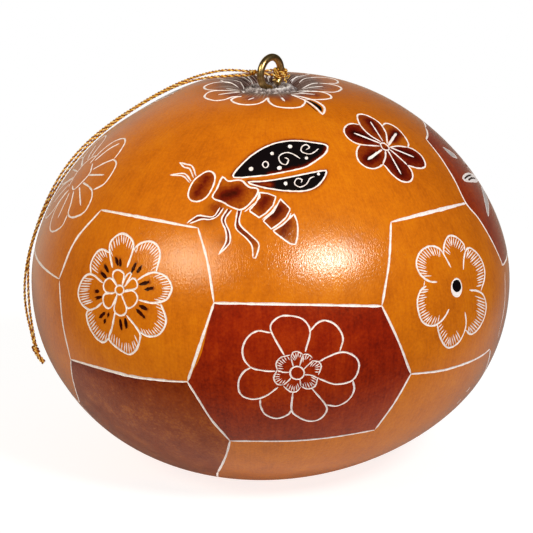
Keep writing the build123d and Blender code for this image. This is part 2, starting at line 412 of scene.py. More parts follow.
ASTER_HEART = (
    ((-2.4, -4.7), (-6.5, -12), (-6, -18), (-1.2, -20.2), (4, -17), (4.5, -13), (2.4, -4.3)),
    ((3, -4.5), (5.5, -12), (9.4, -17), (11.8, -15.5), (6, -5)),
    ((4.7, -3), (12.9, -11.8), (17.6, -7.6), (16.5, -1.5), (4.7, 0.6)),
    ((4.5, 2), (13, 0.6), (18.2, 7.6), (14.5, 15.5), (7.6, 17.6), (2.5, 5)),
    ((2, 5), (7, 18), (5, 24.5), (-1, 25), (-5.5, 19.5), (-2, 5)),
    ((-2.5, 4.5), (-7, 15.5), (-11.8, 18.2), (-15.9, 13.5), (-15.3, 4.5), (-5, 3)),
    ((-4.7, 2.5), (-12.9, 2.4), (-16.2, -4), (-13, -10.6), (-7.6, -11.2), (-3, -4)),
)
ASTER_STAMENS = (
    ((-3.5, -32), (-1.5, -24.5)), ((0.5, -31), (1, -23.5)), ((16.5, -27), (12, -17.5)),
    ((21.5, -23), (17.5, -17)), ((29.5, -8), (20.5, -5.5)), ((33.5, -2), (26.5, -0.5)),
    ((27.5, 19.5), (19.5, 15.5)), ((24.5, 27), (17, 19.5)), ((2, 39), (0.5, 29)), ((6.8, 36), (5.5, 28)),
    ((-19, 27), (-14.5, 22.5)), ((-11.5, 25.5), (-10.5, 23.5)), ((-15, 32), (-14, 29)),
    ((-24.5, 1.5), (-20.5, 1.3)), ((-23, 8), (-18, 7)), ((-18.5, -17.5), (-13, -12)),
    ((-14.5, -24), (-11, -17.5)),
)


def aster(place, middle=(0.0, 0.0)):
    for petal, (start, stop) in zip(ASTER_PETALS, ASTER_HATCHED):
        petal = shifted(petal, middle)
        draw(place, petal, 0.36)
        hatch(place, petal, middle, 2.8, 8.8, start=start, stop=stop, along=0.72)
    for petal in ASTER_HEART:
        draw(place, shifted(petal, middle), 0.3)
    draw(place, oval(*middle, 4.4, 4.7, 10), 0.3, closed=True)
    for stamen in ASTER_STAMENS:
        tip, root = shifted(stamen, middle)
        between = ((tip[0] * 2 + root[0]) / 3, (tip[1] * 2 + root[1]) / 3)
        cut(place([tip, between, root]), 0.62, kind=DARK, depth=0.05, step=0.35, taper=1.4)
        scorch(place, tip, 0.36, 0.36)
        scorch(place, between, 0.34, 0.3)
        scorch(place, root, 0.3, 0.2)


# Flower with plain round petals and a hatched heart
DAISY_PETALS = (
    ((-13, -17.7), (-25.4, -40), (-26, -48.7), (-18, -56.1), (-6.8, -57.1), (5.6, -53.7), (13, -41.9),
     (8.1, -20.8)),
    ((13, -41.9), (20.4, -49.9), (28.5, -52.4), (39, -47.5), (45.8, -35.1), (42.8, -22)),
    ((21.7, -10.9), (31.6, -16.5), (45.2, -20.8), (57.6, -16.5), (62, -6.6), (55.8, 7.1), (40.3, 11.4),
     (27.9, 8.3), (20.4, 4.6)),
    ((55.8, 7.7), (57, 17), (51.4, 26.9), (40.3, 33.1), (29.7, 31.8)),
    ((14.3, 15.1), (29.1, 33.1), (27.3, 41.8), (20.4, 47.3), (10.5, 48), (-0.6, 43), (-5.6, 36.8),
     (-4.3, 19.5)),
    ((-5.6, 36.8), (-9.3, 41.8), (-20.4, 45.5), (-31.6, 41.8), (-36.6, 33.1), (-36.8, 26.3)),
    ((-19.2, 14.5), (-30.4, 22.6), (-41.5, 26.3), (-52.7, 24.4), (-58.2, 18.2), (-58.2, 7.1), (-52.7, -1.6),
     (-45.8, -5.3)),
    ((-21.7, -1.6), (-34.1, -2.2), (-45.8, -5.3), (-53.3, -14), (-54.5, -25.2), (-48.9, -36.3), (-39, -41.9),
     (-26, -40)),
)
DAISY_RIMS = (
    ((-19.8, -2.9), (-21.1, -9), (-16.7, -15.2), (-6.8, -17.7)),
    ((-6.2, -15.2), (-4.3, -20.2), (0.6, -21.4), (5.6, -18.3)), ((5.6, -17.7), (10.5, -19), (15.5, -14.6)),
    ((15.5, -12.1), (21.1, -11.5), (24.2, -6.6), (21.1, 2.1)),
    ((20.4, 5.2), (18, 13.3), (10.5, 16), (3.7, 13.3)),
    ((3.1, 14.5), (-0.6, 18.8), (-6.8, 18.8), (-13.6, 13.3)),
    ((-13.6, 12), (-19.8, 11.4), (-23.5, 5.2), (-19.8, -2.9)),
)
DAISY_SPOKES = (
    ((-3.7, -6), (-6.2, -15.2)), ((2.5, -6.6), (5.6, -17.7)), ((5.6, -2.9), (15.5, -12.1)),
    ((7.4, 2.1), (14, 2.2), (20.4, 5.2)), ((2.8, 6.8), (3.7, 13.3)), ((-5.6, 4.6), (-13.6, 12.6)),
    ((-8.1, -0.6), (-14, -0.6), (-19.8, -2.9)),
)


def daisy(place, middle=(0.0, 0.0)):
    for petal in DAISY_PETALS:
        draw(place, shifted(petal, middle), 0.28)
    for rim in DAISY_RIMS:
        rim = shifted(rim, middle)
        draw(place, rim, 0.22)
        hatch(place, rim, middle, 3.0, 6.5, 0.17, start=0.08, stop=0.95)
    for spoke in DAISY_SPOKES:
        draw(place, shifted(spoke, middle), 0.22)
    draw(place, oval(*middle, 7.2, 6.6), 0.26, closed=True)


# Flower with open petals round a dark eye
MALLOW_PETALS = (
    ((-19, -4.9), (-27.6, -6.1), (-36.2, -12.9), (-40.1, -23.9), (-36.2, -35), (-26.4, -41.1), (-16.6, -38),
     (-10.4, -28.8), (-5.5, -19.6)),
    ((-12.6, -33.1), (-12.3, -42.3), (-8, -50.9), (-0.6, -50.3), (7.4, -42.9), (8, -36.8)),
    ((7, -17.8), (7.4, -27.6), (9.8, -37.4), (14.7, -38.7), (22.7, -31.3), (27.6, -20.2), (28.2, -9.2),
     (24.5, 3.7)),
    ((13.5, 3.1), (20.2, 3.7), (27, 8), (29.8, 19), (27.6, 31.3), (21.5, 42.3), (14.7, 47.2), (9.2, 42.9)),
    ((8.6, 25.2), (9.8, 35), (8, 44.8), (1.8, 55.8), (-8, 60.7), (-14.1, 54.6), (-17.8, 44.8), (-19, 37.4)),
    ((-7.4, 22.1), (-11.7, 30.1), (-17.8, 36.2), (-25.2, 38.7), (-33.7, 35), (-38, 23.9), (-38.9, 12.9),
     (-35.6, 3.1), (-30, -1.2)),
)
MALLOW_HATCHED = ((0.2, 0.76), (0.1, 0.95), (0.32, 0.95), (0.3, 0.97), (0.4, 0.98), (0.25, 0.98))


def mallow(place, middle=(0.0, 0.0)):
    for petal, (start, stop) in zip(MALLOW_PETALS, MALLOW_HATCHED):
        petal = shifted(petal, middle)
        draw(place, petal, 0.31)
        hatch(place, petal, middle, 2.9, 9.0, start=start, stop=stop)
    rim = shifted(oval(0.2, 0.6, 5.2, 9.0), middle)
    pupil = shifted(oval(0.5, -1.4, 4.6, 6.6), middle)
    fill(place, rim, LINE, near=0.0)
    fill(place, pupil, near=1.0, far=1.0)
    draw(place, rim, 0.26, closed=True)


# Flower with burnt petals and carved veins
VIOLET_LINES = (
    ((-5.6, -0.4), (-15.5, -1.1), (-25.4, -2.1), (-31.7, -4.6), (-38, -9.5), (-41.2, -15.8), (-38.7, -20.8),
     (-33.1, -23), (-25.4, -21.5)),
    ((-4.2, -4.6), (-15.5, -11.6), (-23.9, -20.1), (-27.5, -27.8), (-26.8, -32), (-21.1, -32), (-12.7, -28.5),
     (-5.6, -23.6), (-1.4, -18), (1.4, -11.6), (2.1, -2.5)),
    ((-2.5, -20.8), (0.7, -23.2), (7, -21.5), (14.1, -16.5), (20.4, -8.8), (23.6, -2.5), (22.5, 0.7)),
    ((4.9, 0.7), (12.7, -0.4), (22.5, 0.7)),
    ((22.5, 0.7), (28.9, 3.2), (36.6, 9.5), (40.1, 16.5), (39.4, 20.8), (33.8, 21.8), (28.2, 20.4),
     (22.5, 18.7)),
    ((4.9, 3.2), (13.4, 10.2), (22.5, 18.7)),
    ((22.5, 18.7), (26.1, 23.6), (27.8, 29.2), (26.1, 34.2), (20.4, 35.6), (14.1, 33.5), (6.3, 27.1),
     (0.7, 20.1), (-2.1, 17.6)),
    ((0.4, 4.2), (0.4, 10.2), (-2.1, 17.6)),
    ((-2.1, 17.6), (-7, 21.1), (-13.4, 22.2), (-21.1, 19.4), (-26.8, 13.7), (-28.5, 7.4), (-27.5, 1.8),
     (-24.6, -1.4)),
)
VIOLET_VEINS = (
    ((-4.6, -3.2), (-31, -13.4), 0.32), ((-2.1, -5.3), (-14.8, -25), 0.27),
    ((3.2, -1.1), (11.3, -13.4), 0.42), ((5.6, 1.1), (28.9, 10.6), 0.3), ((2.8, 3.9), (16.2, 27.8), 0.27),
    ((-3.2, 3.2), (-16.9, 13), 0.42),
)
VIOLET_BURNS = ((0.86, 0.52), (0.68, 0.36), (0.82, 0.18), (0.84, 0.54), (0.8, 0.52), (0.86, 0.42))
VIOLET_PETALS = (
    ((0, 0), (-15.5, -1.1), (-31.7, -4.6), (-38, -9.5), (-41.2, -15.8), (-38.7, -20.8), (-33.1, -23),
     (-25.4, -21.5), (-15.5, -11.6)),
    ((0, 0), (-15.5, -11.6), (-23.9, -20.1), (-27.5, -27.8), (-26.8, -32), (-21.1, -32), (-12.7, -28.5),
     (-5.6, -23.6), (-1.4, -18), (1.4, -11.6)),
    ((0, 0), (1.4, -11.6), (-2.5, -20.8), (0.7, -23.2), (7, -21.5), (14.1, -16.5), (20.4, -8.8), (23.6, -2.5),
     (22.5, 0.7)),
    ((0, 0), (22.5, 0.7), (28.9, 3.2), (36.6, 9.5), (40.1, 16.5), (39.4, 20.8), (33.8, 21.8), (28.2, 20.4),
     (22.5, 18.7)),
    ((0, 0), (22.5, 18.7), (26.1, 23.6), (27.8, 29.2), (26.1, 34.2), (20.4, 35.6), (14.1, 33.5), (6.3, 27.1),
     (0.7, 20.1), (-2.1, 17.6)),
    ((0, 0), (-2.1, 17.6), (-7, 21.1), (-13.4, 22.2), (-21.1, 19.4), (-26.8, 13.7), (-28.5, 7.4),
     (-27.5, 1.8), (-24.6, -1.4)),
)


def violet(place, middle=(0.0, 0.0)):
    for petal, (root, tip, _), (near, far) in zip(VIOLET_PETALS, VIOLET_VEINS, VIOLET_BURNS):
        halfway = ((root[0] + tip[0]) / 2, (root[1] + tip[1]) / 2)
        spine = shifted((halfway, tip), middle)
        fill(place, shifted(petal, middle), near=near, far=far, spread=0.85, spine=spine, curved=False)
    for line in VIOLET_LINES:
        draw(place, shifted(line, middle), 0.29)
    for root, tip, width in VIOLET_VEINS:
        draw(place, shifted((root, tip), middle), width)
        scorch(place, shifted([tip], middle)[0], 1.1, 0.3)
    ring = ((-4.6, -2.6), (-1.2, -3.6), (2.6, -0.6), (4.6, 2.4), (1.4, 3.8), (-2.4, 2.0))
    draw(place, shifted(ring, middle), 0.26, closed=True)


# Flower at the left shoulder, drawn at its pixels as far as they show
SHOULDER_FLOWER = (
    ((89.8, 163.2), (101, 150.6), (113.5, 140.8), (123.3, 137.8), (124.7, 142.2), (119.1, 152),
     (114.2, 158.3)),
    ((92.6, 169.5), (103.8, 163.2), (114.2, 159)), ((94.7, 160.4), (107.9, 149.2), (119.1, 142.9)),
    ((112.8, 159), (116.3, 163.2), (112.1, 172.9), (103.8, 184.1), (93.3, 189.7)),
    ((88.4, 175), (103.8, 174.8)),
    ((82.8, 182.7), (88.4, 186.2), (91.9, 191.1), (91.2, 199.5), (84.2, 212.1), (73, 217.4), (68.1, 214.1),
     (70.9, 203.7), (73.7, 191.1)),
    ((79.3, 186.9), (80.7, 205.1)),
    ((67.4, 214.9), (61.9, 226), (53.5, 231.6), (50, 228.8), (52.1, 217.6), (59.1, 202.3), (68.8, 189.7)),
    ((69.5, 192.5), (57.7, 218.3)),
    ((92.6, 163.2), (89.8, 172.9), (81.4, 182.7), (73.7, 189.7), (72.3, 185.5)),
)

# Bee
BEE_HEAD = (
    (209, 171), (214, 173.5), (215, 179), (212.5, 187.5), (206, 197.5), (197, 201.5), (189.5, 199),
    (188.5, 192), (193.5, 181), (202.5, 173.5),
)
BEE_THORAX = (
    (222.5, 177), (228, 181), (238, 180), (242.5, 181), (249, 187), (258, 189), (255, 197.5), (243, 209),
    (232.5, 207.5), (222.5, 202), (212.5, 197.5), (217, 188.5),
)
BEE_RINGS = (
    ((260, 192.5), (268, 193.5), (276, 196.5), (273, 205.5), (266, 213), (259, 217.5), (249, 210.5),
     (256, 203)),
    ((280.5, 199), (290.5, 209), (286, 217.5), (279, 224), (271.5, 229), (263, 220.5), (273, 212.5)),
    ((294, 214), (297, 221), (298, 228), (297.5, 237), (295.5, 244.5), (291, 244), (286, 241), (273, 231),
     (283, 224.5)),
)
BEE_UPPER_WING = (
    (233, 175.3), (240.2, 166), (252.2, 155), (267.4, 146), (282.7, 141.6), (298, 140.7), (315.4, 142.8),
    (325.5, 144.6), (327.6, 147.4), (325.2, 153.5), (315.4, 161.2), (304.5, 167.3), (289.2, 171),
    (269.6, 174.7), (252.2, 176.6), (237, 177.6),
)
BEE_LOWER_WING = (
    (248, 182), (263, 181.2), (282.7, 178.4), (304.5, 174), (324.5, 170.5), (326.4, 172.5), (323, 179.7),
    (315.4, 187.3), (304.5, 190.8), (287, 190.8), (267.4, 188.2), (254, 184.9),
)
BEE_LEGS = (
    ((220, 207.5), (215.5, 214.5), (211.5, 217), (199, 215.5), (193, 218.5), (187, 223)),
    ((223.5, 208), (217.5, 216), (210, 219.5), (202, 219), (195, 221.5), (189.5, 223.5)),
    ((227.5, 209), (221.5, 219.5), (225.5, 230), (226, 241.5), (218.5, 254.5)),
    ((231.5, 210), (225, 220), (229.5, 232), (230, 242), (225, 248.5), (218.5, 254.5)),
    ((237.5, 210.5), (236, 219.5), (236, 228.5), (246, 238), (252, 246), (253, 258)),
    ((241.5, 210), (239.5, 223.5), (250, 234.5), (258, 242), (259, 247), (255.5, 258), (253, 258)),
)
BEE_FEELERS = (
    ((196, 176), (192.5, 166.5), (187.5, 164.5), (179.5, 162.5)),
    ((193.5, 177.5), (189.5, 168.5), (184.5, 167.5), (179.5, 162.5)),
    ((191, 181), (186, 174.5), (181, 173.3), (170, 175)),
    ((189.5, 182.5), (185, 177.5), (180.5, 175.5), (170, 175)),
)
BEE_CURLS = (
    ((300, 158.5), (293, 154), (285.5, 152.5), (279, 156.5), (280.5, 162.5), (286, 164.5), (288.5, 159.5),
     (284.5, 157.5)),
    ((318.5, 148.5), (314.5, 152), (309, 154), (301.5, 151.5), (302, 146.5), (306.5, 144.5), (309.5, 147.5),
     (306, 149.5)),
    ((314.5, 176.5), (310, 178.5), (306, 184.5), (299.5, 187), (294.5, 183.5), (297, 178.5), (302, 179.5),
     (301, 182.5)),
)
BEE_DOTS = (
    (290, 146.5, 0.66), (272, 153.5, 0.62), (251, 169, 0.76), (279.5, 168, 0.74), (306.5, 158, 0.58),
    (285.5, 183.5, 0.66), (318.5, 174, 0.5),
)
BEE_SHADES = (
    (BEE_HEAD, 0.58, 0.24, 0.9, ((206, 179), (197, 193))),
    (BEE_THORAX, 0.72, 0.27, 1.1, ((224, 196), (236, 192))),
    (BEE_RINGS[0], 0.6, 0.28, 0.8, ((266, 199), (260, 206))),
    (BEE_RINGS[1], 0.74, 0.34, 0.8, ((279, 209), (274, 216))),
    (BEE_RINGS[2], 0.58, 0.25, 0.8, ((287, 224), (283, 232))),
    (BEE_UPPER_WING, 0.46, 1.05, 0.5, BEE_UPPER_WING[8:14]),
    (BEE_LOWER_WING, 0.46, 1.05, 0.6, ((249, 183), (263, 184), (270, 185))),
)
BEE_SEAMS = (
    (0.2, (254.5, 203), (248, 209), (244.5, 211.5)), (0.2, (258, 190.5), (260, 197), (254.5, 203)),
    (0.22, (276.5, 205), (270.5, 213), (262, 219.5)),
    (0.22, (291, 213), (288, 219.5), (280, 226), (273, 230)),
)
BEE_SCORCHES = (
    ((217, 208), 1.6, 0.34), ((209, 219), 1.5, 0.3), ((198, 220), 1.1, 0.25), ((224, 214), 1.2, 0.22),
    ((224, 240), 1.2, 0.26),
)


def bee(place):
    for outline, near, far, spread, spine in BEE_SHADES:
        fill(place, outline, near=near, far=far, spread=spread, spine=spine)
    for outline in (BEE_HEAD, BEE_THORAX, BEE_UPPER_WING, BEE_LOWER_WING):
        draw(place, outline, 0.28, closed=True, step=0.42)
    for ring in BEE_RINGS:
        cut(place(straight(ring + ring[:1], 8)[:-1]), 0.25, True, step=0.42)
    for width, *seam in BEE_SEAMS:
        draw(place, seam, width)
    for outer, inner in zip(BEE_LEGS[0::2], BEE_LEGS[1::2]):
        fill(place, outer + inner[::-1], near=0.52, far=0.18, spread=1.4, spine=outer[:4], curved=False)
    for leg in BEE_LEGS:
        draw(place, leg, 0.24)
    for feeler in BEE_FEELERS:
        draw(place, feeler, 0.25)
    for curl in BEE_CURLS:
        draw(place, curl, 0.19, step=0.3)
    draw(place, oval(265.5, 164.5, 2.9, 3.1, 8), 0.19, closed=True, step=0.3)
    for x, y, size in BEE_DOTS:
        dot(place, x, y, size)
    for point, spread, strength in BEE_SCORCHES:
        scorch(place, point, spread, strength)
    for point in rounded(BEE_UPPER_WING[:8], per_run=5):
        scorch(place, point, 0.5, 0.5)
    for point in rounded(BEE_LOWER_WING, per_run=4):
        scorch(place, point, 0.45, 0.4)


# Crown flower: the petals that show, at their pixels, and the far ones on the plan of the crown
CROWN_PETALS = (
    ((241.5, 96.6), (232.6, 96.8), (224.7, 99.5), (215.8, 100.5), (207.9, 99), (204.4, 96.6), (206.9, 93.1),
     (211.8, 91.1), (224.7, 90.4), (239.5, 91.4)),
    ((224.7, 90.4), (212.8, 90.1), (206.4, 89.2), (203.9, 86.9), (206.9, 84.7), (214.8, 82.5), (227.6, 81.9),
     (239.5, 84.7)),
    ((241.5, 96.1), (236.5, 97.1), (231.1, 99.5), (234.5, 102.5), (242.4, 104.5), (253.3, 104.5),
     (261.2, 102.5), (266.2, 99), (267.7, 97.6)),
    ((268.6, 97.6), (268.2, 100.5), (272.1, 104.5), (279, 107), (289.9, 107.9), (299.8, 107), (303.7, 104.5),
     (305.2, 100.5), (299.8, 98.1), (293.9, 95.6)),
    ((304.7, 99), (316.6, 99.5), (326.5, 99), (331.4, 97.6), (328.5, 94.1), (319.6, 91.6), (309.7, 91.1),
     (298.8, 92.6)),
    ((306.7, 91.1), (320.5, 91.6), (333.4, 92.1), (339.3, 90.6), (341.3, 88.2), (337.3, 85.7), (327.5, 83.7),
     (313.6, 83.2), (302.7, 85.7)),
    ((328.5, 83.2), (336.4, 83.2), (337.8, 81.3), (333.4, 78.8), (323.5, 77.3), (311.6, 77.1)),
)
CROWN_BURNS = (
    ((241, 94), (232, 94), 0.5), ((243, 88), (230, 86), 0.5), ((253, 97), (250, 98.5), 0.4),
    ((283, 97), (285, 99), 0.42), ((300, 94), (314, 95), 0.4), ((300, 89), (316, 88), 0.5),
    ((302, 83), (316, 80), 0.5),
)
CROWN_TICKS = (
    (0.34, (218.1, 94.6), (228.8, 93.1), (240.1, 92.1)), (0.26, (226, 88.6), (240, 90)),
    (0.28, (220.1, 79.7), (224.7, 82.1), (231, 82.8)), (0.5, (242.8, 88.6), (243.6, 92.6)),
    (0.32, (248.3, 99.7), (254.5, 97.5)), (0.36, (281.2, 97.3), (284.5, 101)),
    (0.32, (290.9, 94.4), (302.7, 93.4), (315, 94.4)), (0.24, (296.5, 91.2), (304.7, 90.4), (312, 91.3)),
    (0.32, (302.7, 88), (313, 87), (323.2, 86.4)), (0.24, (300.6, 85.9), (308.8, 83.8), (318, 82.9)),
    (0.26, (298.6, 80.3), (305.8, 78.2), (319.1, 77)), (0.26, (290.4, 79.2), (298.1, 75.9)),
)
CROWN_LEAF = (
    (305.3, 99.2), (312, 101.4), (318.1, 104.6), (321.6, 108), (321.4, 111.8), (316.4, 106.8), (310.2, 102.2),
)
CROWN_LEAF_EDGES = (
    (0.42, (291.4, 95.1), (301.7, 96.9), (312.9, 99.9), (319.1, 102.9), (323.8, 106.6), (324.6, 110.4),
     (323, 114.4)),
    (0.34, (303.7, 99.4), (309.9, 103.2), (316, 107.8), (320.1, 112.1), (322.7, 114.6)),
)
CROWN_LEAF_SHADE = ((304.7, 101.3), (311.0, 106.2), (317.0, 111.7))
CROWN_BLADE = (
    (239.6, 79.7), (245.3, 79.2), (251.4, 78.6), (256.5, 81.3), (255.5, 83.3), (250.4, 82.7), (244.2, 81.2),
)
CROWN_BLADE_EDGES = (
    (0.26, (250.9, 77.7), (256.5, 80.8)), (0.24, (240.1, 80.1), (244.2, 81.7), (250.4, 83.5), (256.5, 84.3)),
)
FAR_PETALS = ((-131, 2.2, 10.3), (-178, 2.6, 11.0), (156, 2.4, 11.4))
FAR_LEAVES = ((-146, 12.5), (170, 14.5))


def crown_spot(turn, along, across=0.0):
    sine = math.sin(math.radians(turn))
    cosine = math.cos(math.radians(turn))
    return sine * along + cosine * across, cosine * along - sine * across


def crown_flower():
    for petal, (root, tip, burn) in zip(CROWN_PETALS, CROWN_BURNS):
        fill(seen, petal, near=burn, far=0.08, spread=1.2, spine=(root, tip))
        draw(seen, petal, 0.36)
    fill(seen, CROWN_LEAF, near=0.98, far=0.98)
    fill(seen, CROWN_BLADE, near=0.98, far=0.9)
    for width, *line in CROWN_TICKS + CROWN_LEAF_EDGES + CROWN_BLADE_EDGES:
        draw(seen, line, width)
    cut(seen(rounded(CROWN_LEAF_SHADE)), 0.2, kind=DARK, depth=0.04, step=0.4)
    for turn, half, reach in FAR_PETALS:
        shape = (
            (5.0, -0.5), (7.2, -0.92), (reach - 1.6, -0.95), (reach - 0.35, -0.45), (reach, 0.1),
            (reach - 0.8, 0.75), (7.4, 0.96), (5.0, 0.5),
        )
        petal = [crown_spot(turn, along, across * half) for along, across in shape]
        spine = (crown_spot(turn, 4.2), crown_spot(turn, 5.4))
        fill(crown_plan, petal, near=0.8, far=0.1, spread=2.0, spine=spine)
        draw(crown_plan, petal, 0.24)
        for across in (-0.4, 0.0, 0.4) if turn < -150 else ():
            line = (crown_spot(turn, 5.4, 0.6 * across * half), crown_spot(turn, 0.72 * reach, across * half))
            draw(crown_plan, line, 0.3)
    for turn, reach in FAR_LEAVES:
        shape = ((6.8, 0.0), (9.2, 0.6), (11.6, 0.8), (reach, 0.1), (11.4, -0.5), (9.0, -0.5))
        leaf = [crown_spot(turn, along, across) for along, across in shape]
        fill(crown_plan, leaf, near=0.98, far=0.98)
        draw(crown_plan, leaf, 0.34, closed=True)
    for turn in range(163, 225, 19):
        spot_turn = turn + random.uniform(-2, 2)
        first = random.uniform(4.4, 4.9)
        last = first + random.uniform(0.7, 2.2)
        line = (crown_spot(spot_turn, first), crown_spot(spot_turn + random.uniform(-3, 3), last))
        draw(crown_plan, line, random.uniform(0.16, 0.3), depth=0.05)
    scorches.append((np.array([0.0, 0.0, GOURD_HEIGHT - DIMPLE_DEPTH]), 7.2, 1.0))


# Bold panel lines at their pixels, left panel first
P1, P2, P3, P4, P5, P6 = (101, 210), (198, 228), (214, 303), (187.5, 382), (70.5, 359.5), (59, 279)
Q1, Q2, Q3, Q4 = (382, 306), (411, 374), (375, 430), (230.5, 441)
R1, R2, R3 = (391, 222), (466, 203), (503, 265)
U1, U2 = (426.5, 139.5), (425.5, 127)
LEFT_SEAM = (P5, (94.5, 366.6), (129, 375.8), (159, 380), P4)
LOW_SEAM = (P4, (198.5, 399.5), (212.5, 421), Q4)
SHOULDER_SEAM = (U1, (440.5, 157.3), (454.3, 179.5), R2, (479, 219), (492.5, 242), R3)
CENTRE_TOP = (P3, (297, 304.5), Q1)
CENTRE_RIGHT = (Q1, (398, 340), Q2)
CENTRE_LOW_RIGHT = (Q2, (395, 402), Q3)
CENTRE_FOOT = (Q3, (334, 437), (290, 441), Q4)
LOW_RIGHT = (Q4, (228.6, 455), (224.4, 472))
LOW_LEFT = (P5, (72, 375.4), (76.2, 392), (80, 402.5))
# Each line's width, its swell in the middle and its points
PANEL_LINES = (
    (0.4, 0.5, P1, P2),
    (0.37, 0.0, P2, (207.5, 262), P3),
    (0.43, 0.2, P3, (204, 333), P4),
    (0.42, 0.5, *LEFT_SEAM),
    (0.37, 0.0, P5, (62.5, 322), P6),
    (0.42, 0.2, P6, (75, 241), P1),
    (0.42, 0.0, *CENTRE_TOP),
    (0.38, 0.0, *CENTRE_RIGHT),
    (0.37, 0.0, *CENTRE_LOW_RIGHT),
    (0.36, 0.0, *CENTRE_FOOT),
    (0.38, 0.0, *LOW_SEAM),
    (0.36, 0.0, *LOW_RIGHT),
    (0.26, 0.0, *LOW_LEFT),
    (0.48, 0.6, R1, R2),
    (0.38, 0.0, R1, (389, 262), Q1),
    (0.34, 0.0, *SHOULDER_SEAM),
    (0.22, 0.0, (505, 272), (504.5, 305), (498, 338)),
    (0.38, 0.2, Q2, (440, 370.8), (460.4, 365.2), (475.7, 359), (484, 354), (490.5, 348.4)),
    (0.36, 0.0, U1, (427.5, 133), U2),
)
for width, swell, *line in PANEL_LINES:
    cut(seen(rounded(line, per_run=16)), width, step=0.8, depth=0.17, swell=swell)
draw(seen, ((466.5, 391.5), (468.5, 389.5), (470, 387)), 0.3, depth=0.03)
draw(seen, ((457.5, 403.5), (459.5, 401), (461.5, 399)), 0.3, depth=0.03)


def path_at(*corners):
    """Chart line through corners given as turn and run from the crown."""
    share = np.linspace(0, 1, 24, endpoint=False)
    runs = []
    for (turn_a, run_a), (turn_b, run_b) in zip(corners, corners[1:]):
        runs.append(at(turn_a * (1 - share) + turn_b * share, run_a * (1 - share) + run_b * share))
    runs.append(at(np.array([corners[-1][0]]), np.array([corners[-1][1]])))
    return np.concatenate(runs)


def rule_at(*corners, width=0.38):
    for pair in zip(corners, corners[1:]):
        cut(path_at(*pair), width, step=0.8, depth=0.17, swell=0.3)


def stain(near, far, *edges, kind=STAIN, spread=15.0):
    """A coloured panel inside edges on the chart: near along its first edge, and far away from it."""
    add_fill(resample(np.concatenate(edges), 0.8, True), kind, near, far, spread, skin_points(edges[0])[0])


def edge(points):
    return seen(rounded(points))


# The panels go on round the back in the same rows
rule_at((90.0, 21.7), (117, 22.5), (126, 34), (117, 46), (75.8, 45.8))
rule_at((126, 34), (158, 34), (167, 45), (160, 57), (124, 58), (117, 46))
rule_at((167, 45), (206, 45), (213, 57), (204, 68), (169, 68), (160, 57))
rule_at((-154, 45), (-146, 33), (-114, 33), (-105, 45), (-111, 57), (-147, 57))
rule_at((-105, 45), (-60.6, 45.4))
rule_at((-111, 57), (-101, 69), (-67.0, 68.2))
rule_at((-67.0, 68.2), (-62, 86), (-23, 87), (-18.2, 80.75), width=0.32)
rule_at((124, 58), (113, 68), (79, 68), (68.0, 58.0), width=0.36)
rule_at((113, 68), (120, 80.5), (162, 80.5), (169, 68), width=0.36)

# Stained panels
BROAD_BURN = 2.2
stain(
    1.0, 0.9, edge(CENTRE_TOP), edge(CENTRE_RIGHT), edge(CENTRE_LOW_RIGHT), edge(CENTRE_FOOT),
    edge(LOW_SEAM)[::-1], edge((P4, (191.5, 374), (198.5, 361), (203, 348), (206.5, 333), (212, 311))),
)
stain(
    0.48, 0.33, edge(LEFT_SEAM), edge(LOW_SEAM), edge(LOW_RIGHT),
    path_at((-18.2, 80.75), (-23, 87), (-62, 86), (-67.0, 68.2)), edge(LOW_LEFT)[::-1],
    kind=BURN, spread=BROAD_BURN,
)
stain(
    0.88, 0.88, edge((U2, U1)), edge(SHOULDER_SEAM),
    path_at((75.8, 45.8), (117, 46), (126, 34), (117, 22.5), (90.0, 21.7)),
)
stain(0.97, 0.9, path_at((167, 45), (206, 45), (213, 57), (204, 68), (169, 68), (160, 57), (167, 45)))
stain(0.85, 0.8, path_at((124, 58), (160, 57), (169, 68), (162, 80.5), (120, 80.5), (113, 68), (124, 58)))

# Flowers and bee on the front
aster(seen, (119.5, 290.0))
daisy(seen, (297.2, 372.8))
mallow(seen, (456.4, 287.0))
violet(seen, (385.0, 146.4))
for line in SHOULDER_FLOWER:
    draw(seen, line, 0.32)
bee(seen)
crown_flower()

# Far half of the shoulder flower
SHOULDER_FAR = (
    ((-16, -20), (-36, -40), (-58, -40), (-62, -24), (-46, -10), (-18, -6)),
    ((-18, -4), (-46, -8), (-66, 6), (-60, 24), (-40, 24), (-16, 8)),
    ((-16, 10), (-36, 26), (-44, 46), (-30, 56), (-14, 44), (-6, 20)), ((-20, -14), (-44, -28)),
    ((-20, 2), (-46, 8)), ((-14, 16), (-28, 40)), ((-2, -26), (-14, -18), (-18, 0), (-10, 18)),
)
for line in SHOULDER_FAR:
    draw(patch(-76.0, 30.0), line, 0.27)

# Bud and leaves in the stained panel at the right shoulder, and the flower that they belong to
BUD = (
    (462.5, 178.5), (464.5, 174.5), (469.5, 173), (475, 176), (477.5, 181.3), (471, 181.8), (465.5, 181.2),
)
fill(seen, BUD, LINE, near=0.1)
draw(seen, BUD, 0.16, closed=True)
cut(seen([(464.8, 178.5), (467.5, 175.8), (471.3, 175.2)]), 0.34, kind=DARK, depth=0.1, step=0.3)
cut(seen([(468.5, 180), (471.5, 178), (475.5, 178.6)]), 0.34, kind=DARK, depth=0.1, step=0.3)
for leaf in (
    ((443, 147.2), (448.5, 150), (453.5, 153.5), (457, 158), (451.5, 156), (447, 151.5)),
    ((481.3, 186.6), (485.6, 194), (488.6, 204), (488.2, 216.5), (485.2, 203.5), (483.0, 193.5)),
):
    fill(seen, leaf, near=0.45, kind=LINE)
    draw(seen, leaf, 0.14, closed=True)
far_petal = ((12, -2), (24, -9), (40, -10), (50, 0), (40, 8), (24, 8), (12, 2))
